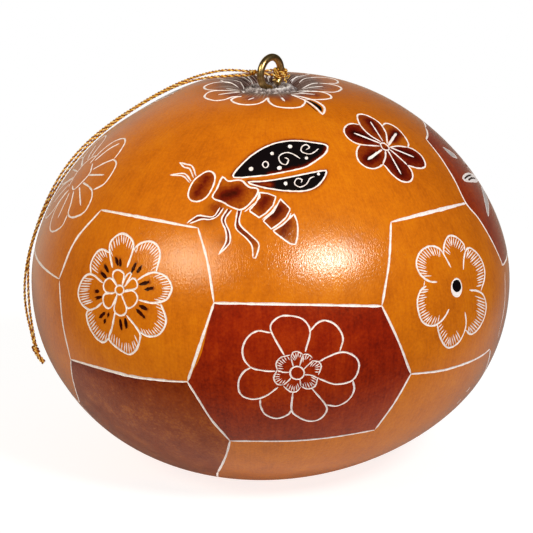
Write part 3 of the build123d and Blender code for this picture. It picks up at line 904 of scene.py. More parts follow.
for turn in range(0, 360, 45):
    spin = patch(104.0, 33.5, turn + 20.0)
    draw(spin, far_petal, 0.3, closed=True)
    draw(spin, ((18, 0), (40, 0)), 0.24)
draw(patch(104.0, 33.5), oval(0, 0, 9, 9), 0.3, closed=True)

# Flowers on the far side
aster(patch(141.0, 45.0, 12.0, 0.95))
mallow(patch(-129.0, 45.0, -8.0))
daisy(patch(-173.5, 56.5, 20.0, 0.95))
violet(patch(-172.0, 27.0, 150.0, 1.1))
violet(patch(-109.0, 15.5, 80.0, 0.82))
mallow(patch(97.0, 57.0, 30.0, 0.62))
daisy(patch(-92.0, 57.0, 10.0, 0.62))

# Flat mesh of the skin: a grid with the edges of the strokes and fills, joined on the chart
GRID_STEP = 1.1
GRID_CLEARANCE = 0.55
BURN_STEP = 0.42
BURN_CLEARANCE = 0.33
FINE_STEP = 0.36
FINE_CLEARANCE = 0.3
BROAD_SCORCH = 2.0
CROWN_SIDES = 96
FOOT_SIDES = 72
plan_points = []
plan_edges = []


def add_path(points, closed):
    first = len(plan_points)
    count = len(points)
    plan_points.extend(points)
    plan_edges.extend((first + k, first + k + 1) for k in range(count - 1))
    if closed:
        plan_edges.append((first + count - 1, first))
    return first


for stroke in strokes:
    line = stroke["line"]
    closed = stroke["closed"]
    ahead = np.roll(line, -1) - np.roll(line, 1) if closed else np.gradient(line)
    across = 1j * ahead / np.abs(ahead)
    reach = stroke["half"] / chart_scale(line)
    left = add_path(line + across * reach, closed)
    middle = add_path(line, closed)
    right = add_path(line - across * reach, closed)
    if not closed:
        for k in (0, len(line) - 1):
            plan_edges.append((left + k, middle + k))
            plan_edges.append((middle + k, right + k))
    stroke["points"] = skin_points(line)[0]
for area in fills:
    add_path(area["outline"], True)


def inside(outline, places):
    """True where places are inside a closed outline on the chart."""
    found = np.zeros(len(places), bool)
    low_x, high_x = outline.real.min(), outline.real.max()
    low_y, high_y = outline.imag.min(), outline.imag.max()
    near = np.nonzero(
        (places.real > low_x) & (places.real < high_x) & (places.imag > low_y) & (places.imag < high_y)
    )[0]
    x = places.real[near]
    y = places.imag[near]
    odd = np.zeros(len(near), bool)
    for a, b in zip(outline, np.roll(outline, -1)):
        if a.imag == b.imag:
            continue
        crosses = (a.imag > y) != (b.imag > y)
        odd ^= crosses & (x < (b.real - a.real) * (y - a.imag) / (b.imag - a.imag) + a.real)
    found[near] = odd
    return found


stroke_tree = kdtree.KDTree(sum(len(stroke["line"]) for stroke in strokes))
number = 0
for stroke in strokes:
    for point in stroke["points"]:
        stroke_tree.insert(point, number)
        number += 1
stroke_tree.balance()


def add_loose(places, clearance):
    """Add grid places that keep clear of the strokes."""
    points = skin_points(places)[0]
    for place, point in zip(places, points):
        if stroke_tree.find(point)[2] > clearance:
            plan_points.append(place)


for run in np.arange(GRID_STEP * 0.7, FOOT_S - GRID_STEP * 0.5, GRID_STEP):
    sides = int(round(2 * math.pi * np.interp(run, skin_s, skin_r) / GRID_STEP))
    offset = random.random()
    add_loose(at((np.arange(sides) + offset) * 360.0 / sides, run), GRID_CLEARANCE)
for area in fills:
    if area["kind"] == BURN and area["spread"] < BROAD_BURN:
        outline = area["outline"]
        step = BURN_STEP / chart_scale(outline).mean()
        columns = np.arange(outline.real.min(), outline.real.max(), step)
        rows = np.arange(outline.imag.min(), outline.imag.max(), step)
        places = (columns[:, None] + 1j * rows[None, :]).ravel()
        add_loose(places[inside(outline, places)], BURN_CLEARANCE)
fine_rows = {}
for place, spread, strength in scorches:
    if spread > BROAD_SCORCH:
        continue
    gap = (skin_r - math.hypot(place[0], place[1])) ** 2 + (skin_z - place[2]) ** 2
    middle = skin_s[gap.argmin()]
    reach = int(2 * spread / FINE_STEP) + 1
    for row in range(int(middle / FINE_STEP) - reach, int(middle / FINE_STEP) + reach + 1):
        sides = int(2 * math.pi * np.interp(row * FINE_STEP, skin_s, skin_r) / FINE_STEP)
        column = int(math.atan2(place[0], -place[1]) / (2 * math.pi) * sides)
        fine_rows.setdefault((row, sides), set()).update(range(column - reach, column + reach + 1))
for (row, sides), columns in fine_rows.items():
    add_loose(at(np.array(sorted(columns)) * 360.0 / sides, row * FINE_STEP), FINE_CLEARANCE)
add_path(at(np.arange(CROWN_SIDES) * 360.0 / CROWN_SIDES, 0.0), True)
add_path(at(np.arange(FOOT_SIDES) * 360.0 / FOOT_SIDES, FOOT_S), True)
joined = geometry.delaunay_2d_cdt(
    [Vector((place.real, place.imag)) for place in plan_points], plan_edges, [], 0, 1e-6, True
)
skin_chart = np.array([complex(place.x, place.y) for place in joined[0]])
skin_faces = np.array([tuple(face) for face in joined[2]])
in_hole = np.abs(skin_chart) < 1 + 1e-4
skin_faces = skin_faces[~in_hole[skin_faces].all(1)]
corners = skin_chart[skin_faces]
area_sign = ((corners[:, 1] - corners[:, 0]).conj() * (corners[:, 2] - corners[:, 0])).imag
skin_faces[area_sign < 0] = skin_faces[area_sign < 0][:, ::-1]
base_points, base_outward = skin_points(skin_chart)
centres = base_points[skin_faces].mean(1)
centre_chart = skin_chart[skin_faces].mean(1)


def tree_of(points):
    tree = kdtree.KDTree(len(points))
    for index, point in enumerate(points):
        tree.insert(point, index)
    tree.balance()
    return tree


# Depth of the strokes at each point, and which faces lie in a stroke
vertex_tree = tree_of(base_points)
face_tree = tree_of(centres)
depth = np.zeros(len(base_points))
face_stroke = np.zeros(len(skin_faces), int)


def near_run(tree, a, b, half_a, half_b):
    """Points of a tree near one run of a stroke, with their distance as a share of the half width."""
    run = b - a
    length = float(run @ run)
    middle = (a + b) / 2
    reach = 0.5 * math.sqrt(length) + max(half_a, half_b)
    for place, index, _ in tree.find_range(middle, reach):
        away = np.array(place) - a
        share = min(1.0, max(0.0, float(away @ run) / length))
        gap = away - run * share
        yield index, math.sqrt(float(gap @ gap)) / (half_a * (1 - share) + half_b * share)


for stroke in strokes:
    points = stroke["points"]
    half = stroke["half"]
    ends = list(range(1, len(points))) + ([0] if stroke["closed"] else [])
    for first, last in zip(range(len(points)), ends):
        for index, share in near_run(vertex_tree, points[first], points[last], half[first], half[last]):
            if share < 1:
                depth[index] = max(depth[index], stroke["depth"] * (1 - share**2) ** 0.7)
        for index, share in near_run(face_tree, points[first], points[last], half[first], half[last]):
            if share < 1 and face_stroke[index] != LINE:
                face_stroke[index] = stroke["kind"]

# Fill of each face
face_fill = np.full(len(skin_faces), -1)
for index, area in enumerate(fills):
    face_fill[inside(area["outline"], centre_chart)] = index
face_kind = np.array([area["kind"] for area in fills] + [0])[face_fill]

# Stain, burning and carving at the corners of the faces
corner_points = skin_faces.ravel()
corner_face = np.repeat(np.arange(len(skin_faces)), 3)
scorched = np.zeros(len(base_points))
for place, spread, strength in scorches:
    gap = np.linalg.norm(base_points - place, axis=1) / spread
    scorched = np.maximum(scorched, strength * np.exp(-(gap**2)))
corner_burn = scorched[corner_points]
corner_stain = np.zeros(len(corner_points))
for index, area in enumerate(fills):
    if area["kind"] == LINE:
        continue
    chosen = np.nonzero(face_fill[corner_face] == index)[0]
    places = base_points[corner_points[chosen]]
    gap = np.linalg.norm(places[:, None, :] - area["spine"][None, :, :], axis=2).min(1)
    values = corner_burn if area["kind"] == BURN else corner_stain
    shade = area["far"] + (area["near"] - area["far"]) * np.exp(-((gap / area["spread"]) ** 2))
    values[chosen] = np.maximum(values[chosen], shade)
fill_strength = np.array([area["near"] for area in fills] + [0.0])[face_fill]
face_line = np.where((face_kind == LINE) & (face_stroke != DARK), 1 - fill_strength, 0.0)
face_line[face_stroke == LINE] = 1.0
corner_line = face_line[corner_face]
corner_burn[(face_kind == LINE)[corner_face]] = 0.9
corner_burn[face_stroke[corner_face] == DARK] = 0.84

# How this gourd grew: its foot leans to the left, and its shoulder is flatter where the thread swings
FOOT_LEAN = 1.7
LEAN_BELOW = 15.0
FLAT_TURN = -145.0
FLAT_HALF_TURN = 40.0
FLAT_TURN_FADE = 30.0
FLAT_HEIGHT = 56.5
FLAT_HEIGHT_FADE = 4.2
FLAT_FROM_RADIUS = 8.0
FLAT_DROP = 0.5
FLAT_SHRINK = 0.012


def grown(points):
    """The points of a regular gourd moved to where they are on this one."""
    points = points.copy()
    low = np.clip((LEAN_BELOW - points[:, 2]) / LEAN_BELOW, 0, 1)
    turn = np.degrees(np.arctan2(points[:, 0], -points[:, 1]))
    beyond = np.maximum(np.abs((turn - FLAT_TURN + 180.0) % 360.0 - 180.0) - FLAT_HALF_TURN, 0.0)
    flat = np.exp(-((beyond / FLAT_TURN_FADE) ** 2) - ((points[:, 2] - FLAT_HEIGHT) / FLAT_HEIGHT_FADE) ** 2)
    flat *= np.clip(np.hypot(points[:, 0], points[:, 1]) / FLAT_FROM_RADIUS - 1.0, 0, 1)
    points[:, :2] *= (1 - FLAT_SHRINK * flat)[:, None]
    points[:, 0] -= FOOT_LEAN * low**1.4
    points[:, 2] -= FLAT_DROP * flat
    return points


# Closed mesh: skin, scar seat, pilot hole, hollow and foot
vertices = list(grown(base_points - base_outward * depth[:, None]))
faces = [tuple(face) for face in skin_faces]
crown_ring = np.nonzero(in_hole)[0]
crown_ring = list(crown_ring[np.argsort(np.angle(skin_chart[crown_ring]))])
foot_ring = np.nonzero(np.abs(skin_chart) > FOOT_SIZE * (1 - 1e-5))[0]
foot_ring = list(foot_ring[np.argsort(np.angle(skin_chart[foot_ring]))])


def add_ring(ring, radius, height, shift=0.0):
    """Join a new ring of the same turns to the last one, inward or downward."""
    turns = np.arctan2([vertices[k][0] - shift for k in ring], [-vertices[k][1] for k in ring])
    first = len(vertices)
    vertices.extend((radius * math.sin(t) + shift, -radius * math.cos(t), height) for t in turns)
    new = list(range(first, first + len(ring)))
    for k in range(len(ring)):
        after = (k + 1) % len(ring)
        faces.append((ring[k], ring[after], new[after], new[k]))
    return new


def close_ring(ring, height, shift=0.0):
    """Close a ring with faces to one point in its middle."""
    tip = len(vertices)
    vertices.append((shift, 0.0, height))
    faces.extend((ring[k], ring[(k + 1) % len(ring)], tip) for k in range(len(ring)))


ring = crown_ring
hollow_outline = side_outline(RIND_WALL, 16)
hollow_top = GOURD_HEIGHT - RIND_WALL
seat = [(SEAT_RADIUS, SCAR_FLOOR + 0.6), (SEAT_RADIUS, SCAR_FLOOR), (2.2, SCAR_FLOOR)]
seat += [(PILOT_RADIUS, SCAR_FLOOR), (PILOT_RADIUS, hollow_top), (3.0, hollow_top)]
for radius, height in seat + [tuple(point) for point in hollow_outline] + [(4.5, RIND_WALL)]:
    ring = add_ring(ring, radius, height)
close_ring(ring, RIND_WALL)
ring = foot_ring
for radius, height in ((7.4, 0.0), (5.4, 0.06), (3.2, 0.16), (1.9, 0.22), (1.4, 0.5), (0.9, 0.62)):
    ring = add_ring(ring, radius, height, -FOOT_LEAN)
close_ring(ring, 0.5, -FOOT_LEAN)


def make_piece(name, points, polygons, body, materials, stands_for):
    """A smooth mesh piece, from millimetres, that rides on a body and replaces CAD nodes."""
    mesh = bpy.data.meshes.new(name)
    places = [tuple(np.array(point) * MM) for point in points]
    mesh.from_pydata(places, [], [tuple(int(k) for k in polygon) for polygon in polygons])
    mesh.update()
    mesh.polygons.foreach_set("use_smooth", [True] * len(mesh.polygons))
    for look in materials:
        mesh.materials.append(look)
    piece = bpy.data.objects.new(name, mesh)
    scene.collection.objects.link(piece)
    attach(piece, body)
    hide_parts(*stands_for)
    return piece


# Materials
def new_look(name):
    look = bpy.data.materials.new(name)
    look.use_nodes = True
    tree = look.node_tree
    tree.nodes.clear()
    shader = tree.nodes.new("ShaderNodeBsdfPrincipled")
    output = tree.nodes.new("ShaderNodeOutputMaterial")
    tree.links.new(shader.outputs["BSDF"], output.inputs["Surface"])
    return look, tree, shader


def feed(tree, socket, value):
    """Link a socket to another node's output, or set its value."""
    if isinstance(value, bpy.types.NodeSocket):
        tree.links.new(value, socket)
    else:
        socket.default_value = value


def set_inputs(tree, node, **inputs):
    """Feed a node's sockets by name, with an underscore for each space."""
    for name, value in inputs.items():
        feed(tree, node.inputs[name.replace("_", " ")], value)


def add_node(tree, kind, settings=None, **inputs):
    node = tree.nodes.new(kind)
    for name, value in (settings or {}).items():
        setattr(node, name, value)
    set_inputs(tree, node, **inputs)
    return node


def add_noise(tree, vector, scale, detail=3.0, roughness=0.55):
    values = {"Vector": vector, "Scale": scale, "Detail": detail, "Roughness": roughness}
    return add_node(tree, "ShaderNodeTexNoise", **values).outputs["Fac"]


def add_ramp(tree, factor, stops):
    node = add_node(tree, "ShaderNodeValToRGB", Fac=factor)
    ramp = node.color_ramp
    while len(ramp.elements) < len(stops):
        ramp.elements.new(0.5)
    for element, (place, colour) in zip(ramp.elements, stops):
        element.position = place
        element.color = (*colour, 1.0)
    return node.outputs["Color"]


def add_range(tree, value, first, last, low, high):
    """Smoothly from low at the first value to high at the last."""
    node = add_node(tree, "ShaderNodeMapRange", {"interpolation_type": "SMOOTHSTEP"}, Value=value)
    set_inputs(tree, node, From_Min=first, From_Max=last, To_Min=low, To_Max=high)
    return node.outputs[0]


def add_mix(tree, factor, a, b):
    node = add_node(tree, "ShaderNodeMix", {"data_type": "RGBA"})
    feed(tree, node.inputs[0], factor)
    for socket, colour in ((node.inputs[6], a), (node.inputs[7], b)):
        feed(tree, socket, (*colour, 1.0) if isinstance(colour, tuple) else colour)
    return node.outputs[2]


def add_math(tree, operation, a, b, clamp=False):
    node = add_node(tree, "ShaderNodeMath", {"operation": operation, "use_clamp": clamp})
    feed(tree, node.inputs[0], a)
    feed(tree, node.inputs[1], b)
    return node.outputs[0]


def times(tree, a, b, clamp=False):
    return add_math(tree, "MULTIPLY", a, b, clamp)


def plus(tree, a, b):
    return add_math(tree, "ADD", a, b)


def minus(tree, a, b):
    return add_math(tree, "SUBTRACT", a, b)


def larger(tree, a, b):
    return add_math(tree, "MAXIMUM", a, b)


def blotch(tree, noise, strength):
    """Noise about zero."""
    return times(tree, minus(tree, noise, 0.5), strength)


def add_bump(tree, shader, height, strength, distance, also_coat=False):
    bump = add_node(tree, "ShaderNodeBump", Height=height, Strength=strength, Distance=distance)
    tree.links.new(bump.outputs["Normal"], shader.inputs["Normal"])
    if also_coat:
        tree.links.new(bump.outputs["Normal"], shader.inputs["Coat Normal"])


def attribute(tree, name, output="Fac"):
    return add_node(tree, "ShaderNodeAttribute", {"attribute_name": name}).outputs[output]


def object_place(tree):
    return tree.nodes.new("ShaderNodeTexCoord").outputs["Object"]


rind, tree, shader = new_look("carved_rind")
place = object_place(tree)
grain = attribute(tree, "grain", "Vector")
broad = add_noise(tree, place, 55.0, 3.0)
medium = add_noise(tree, place, 330.0, 4.0, 0.62)
fibre = add_noise(tree, grain, 2.2, 3.0, 0.6)
speckle = add_noise(tree, place, 2300.0, 2.0)
tone = times(tree, broad, 0.34)
tone = plus(tree, tone, times(tree, medium, 0.26))
tone = plus(tree, tone, times(tree, fibre, 0.17))
tone = plus(tree, tone, times(tree, speckle, 0.23))
ORANGE = [(0.36, (0.48, 0.1, 0.0005)), (0.5, (0.64, 0.152, 0.0005)), (0.64, (0.75, 0.21, 0.0006))]
BROWN = [(0.38, (0.16, 0.002, 0.001)), (0.5, (0.28, 0.008, 0.0005)), (0.62, (0.39, 0.023, 0.0005))]
BURNT = [
    (0.1, (0.44, 0.1, 0.002)), (0.34, (0.29, 0.04, 0.001)), (0.58, (0.135, 0.005, 0.001)),
    (0.8, (0.04, 0.002, 0.001)), (0.97, (0.005, 0.003, 0.004)),
]
ASHES = [(0.38, (0.03, 0.014, 0.012)), (0.54, (0.16, 0.08, 0.062)), (0.68, (0.5, 0.4, 0.375))]
CREAM = [(0.3, (0.8, 0.68, 0.62)), (0.5, (0.92, 0.83, 0.79)), (0.7, (0.95, 0.9, 0.88))]
stained = attribute(tree, "stain")
patchy = times(tree, blotch(tree, tone, -4.5), minus(tree, 1.0, stained))
patchy = plus(tree, patchy, 1.0)
orange = add_ramp(tree, tone, ORANGE)
colour = add_mix(tree, times(tree, stained, patchy, True), orange, add_ramp(tree, tone, BROWN))
burn = attribute(tree, "burn")
burn_worn = plus(tree, burn, blotch(tree, medium, 0.4))
burn_worn = plus(tree, burn_worn, blotch(tree, speckle, 0.3))
burn_worn = times(tree, burn_worn, times(tree, burn, 12.0, True), True)
colour = add_mix(tree, times(tree, burn_worn, 3.2, True), colour, add_ramp(tree, burn_worn, BURNT))
streak = add_noise(tree, grain, 0.62, 3.0, 0.65)
ash = attribute(tree, "ash")
ashy = plus(tree, ash, times(tree, minus(tree, streak, 0.62), 1.6))
ashy = times(tree, ashy, times(tree, ash, 1.2), True)
colour = add_mix(tree, ashy, colour, add_ramp(tree, streak, ASHES))
line = attribute(tree, "line")
colour = add_mix(tree, line, colour, add_ramp(tree, speckle, CREAM))
sound = minus(tree, 1.0, times(tree, burn_worn, 0.8))
gloss = plus(tree, times(tree, medium, 0.1), 0.32)
set_inputs(
    tree, shader, Base_Color=colour, Roughness=plus(tree, gloss, times(tree, line, 0.3)),
    Specular_IOR_Level=times(tree, sound, 0.4), Specular_Tint=(1.0, 0.78, 0.16, 1.0),
    Coat_Weight=times(tree, sound, minus(tree, 1.0, line)), Coat_Roughness=0.16,
)
pores = add_node(tree, "ShaderNodeMapping", Vector=grain, Scale=(1.0, 1.0, 5.0))
peel = add_noise(tree, pores.outputs["Vector"], 5.0, 2.0, 0.6)
add_bump(tree, shader, peel, 0.65, 0.00006, True)

brass, tree, shader = new_look("dull_brass")
place = object_place(tree)
tarnish = add_noise(tree, place, 900.0, 4.0, 0.65)
BRASS = [(0.32, (0.42, 0.27, 0.09)), (0.55, (0.7, 0.47, 0.18)), (0.75, (0.86, 0.63, 0.29))]
dulled = plus(tree, times(tree, tarnish, 0.2), 0.22)
set_inputs(tree, shader, Base_Color=add_ramp(tree, tarnish, BRASS), Metallic=0.95, Roughness=dulled)
add_bump(tree, shader, add_noise(tree, place, 4200.0, 2.0), 0.25, 0.00003)

gold, tree, shader = new_look("gold_foil_ply")
place = object_place(tree)
foil = add_noise(tree, place, 2600.0, 3.0, 0.6)
# Gold foil colour, with a painted glint: the palest stop, scattered by noise, stands for bright reflections
# on the foil
FOIL_AND_GLINTS = [(0.3, (0.86, 0.33, 0.012)), (0.48, (1.0, 0.53, 0.05)), (0.62, (1.0, 0.8, 0.35))]
worn = plus(tree, times(tree, foil, 0.25), 0.16)
set_inputs(tree, shader, Base_Color=add_ramp(tree, foil, FOIL_AND_GLINTS), Metallic=0.15, Roughness=worn)
add_bump(tree, shader, foil, 0.4, 0.00004)

# Dark ply: painted shade, a dark brown tube that stands for the shadowed gaps between the gold foil wraps
shadow_ply, tree, shader = new_look("shadow_ply")
place = object_place(tree)
fuzz = add_noise(tree, place, 3200.0, 3.0, 0.6)
painted_gap_shade = add_ramp(tree, fuzz, [(0.35, (0.16, 0.035, 0.002)), (0.7, (0.5, 0.15, 0.008))])
set_inputs(tree, shader, Base_Color=painted_gap_shade, Specular_IOR_Level=0.1, Roughness=0.5)
add_bump(tree, shader, fuzz, 0.4, 0.00004)

corky, tree, shader = new_look("corky_scar")
place = object_place(tree)
flake = add_noise(tree, place, 1500.0, 5.0, 0.7)
shreds = add_noise(tree, place, 620.0, 4.0, 0.65)
CORK = [(0.36, (0.03, 0.019, 0.016)), (0.5, (0.2, 0.145, 0.128)), (0.62, (0.62, 0.55, 0.53))]
sooty = add_mix(tree, attribute(tree, "soot"), add_ramp(tree, flake, CORK), (0.035, 0.024, 0.022))
frosted = times(tree, minus(tree, shreds, 0.36), 4.0, True)
frosted = times(tree, frosted, attribute(tree, "frost"))
set_inputs(tree, shader, Base_Color=add_mix(tree, frosted, sooty, (0.8, 0.75, 0.73)), Roughness=0.88)
add_bump(tree, shader, flake, 0.6, 0.00012)

pith, tree, shader = new_look("dry_pith")
place = object_place(tree)
shreds = add_noise(tree, place, 420.0, 6.0, 0.7)
dried = add_ramp(tree, shreds, [(0.3, (0.42, 0.31, 0.18)), (0.7, (0.78, 0.68, 0.5))])
set_inputs(tree, shader, Base_Color=dried, Roughness=0.92)
add_bump(tree, shader, shreds, 0.7, 0.0004)

seed_coat, tree, shader = new_look("seed_coat")
place = object_place(tree)
streaks = add_noise(tree, place, 700.0, 4.0, 0.6)
streaked = add_ramp(tree, streaks, [(0.3, (0.3, 0.18, 0.08)), (0.7, (0.6, 0.43, 0.24))])
set_inputs(tree, shader, Base_Color=streaked, Roughness=0.6)
add_bump(tree, shader, streaks, 0.4, 0.0001)

for node_name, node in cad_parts.items():
    look = seed_coat if node_name.startswith("seed_") else pith if node_name == "pith_lining" else None
    if look is not None:
        node.data.materials.clear()
        node.data.materials.append(look)

# Gourd
gourd = make_piece("carved_gourd", vertices, faces, "gourd", [rind], ("gourd_shell",))
mesh = gourd.data
loop_total = len(mesh.loops)
skin_loops = len(corner_points)
for name, values in (("burn", corner_burn), ("line", corner_line), ("stain", corner_stain)):
    layer = mesh.attributes.new(name, "FLOAT", "CORNER")
    layer.data.foreach_set("value", np.concatenate([values, np.zeros(loop_total - skin_loops)]))
layer = mesh.attributes.new("ash", "FLOAT", "POINT")
ash = np.clip((11.0 - np.hypot(base_points[:, 0], base_points[:, 1])) / 4.0, 0, 1) * (base_points[:, 2] > 30)
layer.data.foreach_set("value", np.concatenate([ash, np.zeros(len(vertices) - len(ash))]))
GRAIN_RADIUS = GOURD_WIDTH / 2
GRAIN_STRETCH = 0.09
turn, run = on_skin(skin_chart)[:2]
grain_values = np.zeros((len(vertices), 3))
grain_values[: len(skin_chart)] = np.stack(
    [GRAIN_RADIUS * np.sin(turn), -GRAIN_RADIUS * np.cos(turn), GRAIN_STRETCH * run], 1
)
layer = mesh.attributes.new("grain", "FLOAT_VECTOR", "POINT")
layer.data.foreach_set("vector", grain_values.ravel())
face_normals = np.zeros(len(mesh.polygons) * 3)
mesh.polygons.foreach_get("normal", face_normals)
face_normals = face_normals.reshape(-1, 3)[: len(skin_faces)]
groove_normals = np.zeros((len(vertices), 3))
in_groove = face_stroke > 0
for corner in range(3):
    np.add.at(groove_normals, skin_faces[in_groove][:, corner], face_normals[in_groove])
lengths = np.maximum(np.linalg.norm(groove_normals, axis=1), 1e-9)
groove_normals = groove_normals / lengths[:, None]
corner_normals = np.zeros((loop_total, 3))
corner_normals[:skin_loops] = np.where(
    in_groove[corner_face][:, None], groove_normals[corner_points], base_outward[corner_points]
)
mesh.normals_split_custom_set(corner_normals.tolist())


# Tubes that follow a line
def carried_frames(points):
    """Directions along a line and two directions across it that don't spin."""
    points = np.array(points, float)
    along = np.gradient(points, axis=0)
    along = along / np.linalg.norm(along, axis=1)[:, None]
    side = np.cross(along[0], (0.31, 0.52, 0.79))
    side = side / np.linalg.norm(side)
    sides = []
    for direction in along:
        side = side - direction * float(side @ direction)
        side = side / np.linalg.norm(side)
        sides.append(side)
    sides = np.array(sides)
    return along, sides, np.cross(along, sides)


def tube(points, radii, sides, vertices, faces, tags=None, tag=0):
    """Add a closed round tube along points to a list of vertices and faces."""
    points = np.array(points, float)
    radii = np.broadcast_to(np.array(radii, float), (len(points),))
    _, side, other = carried_frames(points)
    first = len(vertices)
    for point, radius, a, b in zip(points, radii, side, other):
        for k in range(sides):
            turn = 2 * math.pi * k / sides
            vertices.append(point + radius * (a * math.cos(turn) + b * math.sin(turn)))
    start = len(faces)
    for row in range(len(points) - 1):
        for k in range(sides):
            a = first + row * sides + k
            b = first + row * sides + (k + 1) % sides
            faces.append((a, b, b + sides, a + sides))
    for row, reverse in ((0, True), (len(points) - 1, False)):
        cap = [first + row * sides + k for k in range(sides)]
        faces.append(tuple(cap[::-1] if reverse else cap))
    if tags is not None:
        tags.extend([tag] * (len(faces) - start))


def evenly(points, step):
    """Points about a step apart along a line, and their distances along it."""
    points = np.array(points, float)
    reach = np.concatenate([[0.0], np.cumsum(np.linalg.norm(np.diff(points, axis=0), axis=1))])
    marks = np.linspace(0, reach[-1], max(3, int(round(reach[-1] / step)) + 1))
    return np.stack([np.interp(marks, reach, points[:, k]) for k in range(3)], 1), marks


PLY_PITCH = 1.1
GOLD_PLY = 0.122
SHADOW_PLY = 0.1
PLY_STEP = 0.085
FRAY_RADIUS = 0.09


def twisted(points, vertices, faces, tags, start, size):
    """A thread of a bright gold ply and a dark ply twisted together along points; the dark ply is painted
    shade that stands for the shadowed gaps between the foil wraps.
    """
    line, marks = evenly(points, PLY_STEP)
    _, side, other = carried_frames(line)
    turn = (2 * math.pi * marks / PLY_PITCH + start)[:, None]
    arm = side * np.cos(turn) + other * np.sin(turn)
    tube(line + arm * SHADOW_PLY * size, GOLD_PLY * size, 7, vertices, faces, tags, 0)
    tube(line - arm * GOLD_PLY * size, SHADOW_PLY * size, 6, vertices, faces, tags, 1)


def spline_points(route):
    """Points read from the smooth spline of a route, in millimetres."""
    curve = bpy.data.curves.new("route", "CURVE")
    curve.dimensions = "3D"
    spline = curve.splines.new("NURBS")
    spline.points.add(len(route) - 1)
    for point, place in zip(spline.points, route):
        point.co = (*place, 1.0)
    spline.order_u = 3
    spline.use_endpoint_u = True
    spline.resolution_u = 24
    holder = bpy.data.objects.new("route", curve)
    line = bpy.data.meshes.new_from_object(holder)
    points = np.array([tuple(vertex.co) for vertex in line.vertices])
    bpy.data.meshes.remove(line)
    bpy.data.objects.remove(holder)
    bpy.data.curves.remove(curve)
    return points


def thread_piece(name, parts, body, stands_for, frays=(), size=1.0):
    """One piece from several twisted runs of thread and frayed bits of their foil."""
    points = []
    polygons = []
    tags = []
    for number, part in enumerate(parts):
        twisted(part, points, polygons, tags, start=1.7 * number, size=size)
    for fray in frays:
        tube(evenly(spline_points(fray), 0.1)[0], FRAY_RADIUS, 5, points, polygons, tags, 0)
    piece = make_piece(name, points, polygons, body, [gold, shadow_ply], stands_for)
    piece.data.polygons.foreach_set("material_index", tags)
    return piece


def pressed(route, amounts):
    """The route with each point moved towards the skin by its amount."""
    moved = []
    for place, amount in zip(np.array(route, float), amounts):
        reach = math.hypot(place[0], place[1])
        nearest = np.hypot(body_r - reach, body_z - place[2]).argmin()
        away = np.array([reach - body_r[nearest], place[2] - body_z[nearest]])
        away = away / np.linalg.norm(away)
        outward = np.array([away[0] * place[0] / reach, away[0] * place[1] / reach, away[1]])
        moved.append(place - amount * outward)
    return moved


# Thread: two strands, the hitch on the eye and the end knot
COIL_STEPS = 60
COIL_RADIUS = 0.33
turns = np.linspace(0, 2 * math.pi * 2.4, COIL_STEPS) + 0.6
along = np.linspace(0, 1, COIL_STEPS)
coil = np.stack(
    [
        END_KNOT[0] - 0.22 + 0.44 * along + COIL_RADIUS * np.sin(turns),
        END_KNOT[1] - COIL_RADIUS * np.cos(turns),
        END_KNOT[2] + 0.5 - 1.0 * along,
    ],
    1,
)
CORE = ((-0.1, 0.0, 0.95), (0.0, 0.1, 0.3), (0.05, -0.1, -0.3), (0.1, 0.0, -0.9))
TAILS = (
    ((0.1, -0.05, -0.4), (0.5, -0.15, -1), (0.95, -0.3, -1.55), (1.4, -0.3, -2.05)),
    ((0, 0.1, -0.5), (0.25, 0, -1.15), (0.7, -0.1, -1.8), (1.2, -0.15, -2.35)),
)
knot_runs = [coil] + [spline_points(END_KNOT + np.array(run)) for run in (CORE, *TAILS)]
end_knot = thread_piece("thread_end_knot", knot_runs, "thread", ("end_knot",), size=1.15)

for number, (name, route) in enumerate(THREAD_ROUTES.items()):
    line = spline_points(pressed(route, THREAD_PRESS[name]))
    strand = thread_piece(f"gold_{name}", [line], "thread", (name,))

WRAP_STEPS = 90
wrap_reach = WIRE_RADIUS + 0.36
turns = np.linspace(0, 2 * math.pi * 3.2, WRAP_STEPS)
wraps = np.stack(
    [
        LIMB[0] - wrap_reach * np.cos(turns),
        LIMB[1] - wrap_reach * np.sin(turns),
        HITCH_KNOT[2] - 0.62 + 1.24 * np.linspace(0, 1, WRAP_STEPS),
    ],
    1,
)
LITTLE_STEPS = 50
turns = np.linspace(0, 2 * math.pi * 2.2, LITTLE_STEPS)
little = np.stack(
    [
        HITCH_KNOT[0] + 0.42 - 0.84 * np.linspace(0, 1, LITTLE_STEPS),
        HITCH_KNOT[1] + 0.3 * np.cos(turns),
        HITCH_KNOT[2] + 0.3 * np.sin(turns),
    ],
    1,
)
limb_x, limb_y = LIMB
hitch_runs = [
    ((limb_x, limb_y - wrap_reach, 62.05), (limb_x - 2.0, limb_y - 0.6, 62.3), HITCH_KNOT + (0.2, -0.2, 0.1)),
    ((limb_x, limb_y + wrap_reach, 62.75), (limb_x - 2.0, limb_y + 0.5, 62.6), HITCH_KNOT + (0.2, 0.2, 0.0)),
    (HITCH_KNOT + (0.3, 0.0, 0.0), HITCH_KNOT + (-0.3, 0.1, 0.05), (-3.45, 2.04, 62.53)),
    (HITCH_KNOT + (0.3, 0.0, -0.1), HITCH_KNOT + (-0.3, 0.05, -0.25), (-3.45, 1.95, 61.97)),
]
hitch_lines = [wraps, little] + [spline_points(run) for run in hitch_runs]
frays = []
for _ in range(16):
    turn = random.uniform(0, 2 * math.pi)
    height = random.uniform(61.3, 63.3)
    out = np.array([math.cos(turn), math.sin(turn), 0.0])
    over = np.array([-math.sin(turn), math.cos(turn), 0.0])
    lift = np.array([0.0, 0.0, random.uniform(-0.9, 0.9)])
    foot = np.array([LIMB[0], LIMB[1], height]) + out * wrap_reach
    reach = random.uniform(0.25, 0.7)
    sway = random.uniform(-0.6, 0.6)
    bend = foot + out * reach + over * sway * 0.5 + lift * 0.3
    frays.append((foot, bend, foot + out * reach * 0.8 + over * sway + lift))
thread_piece("thread_hitch", hitch_lines, "hitch", ("eye_hitch",), frays)


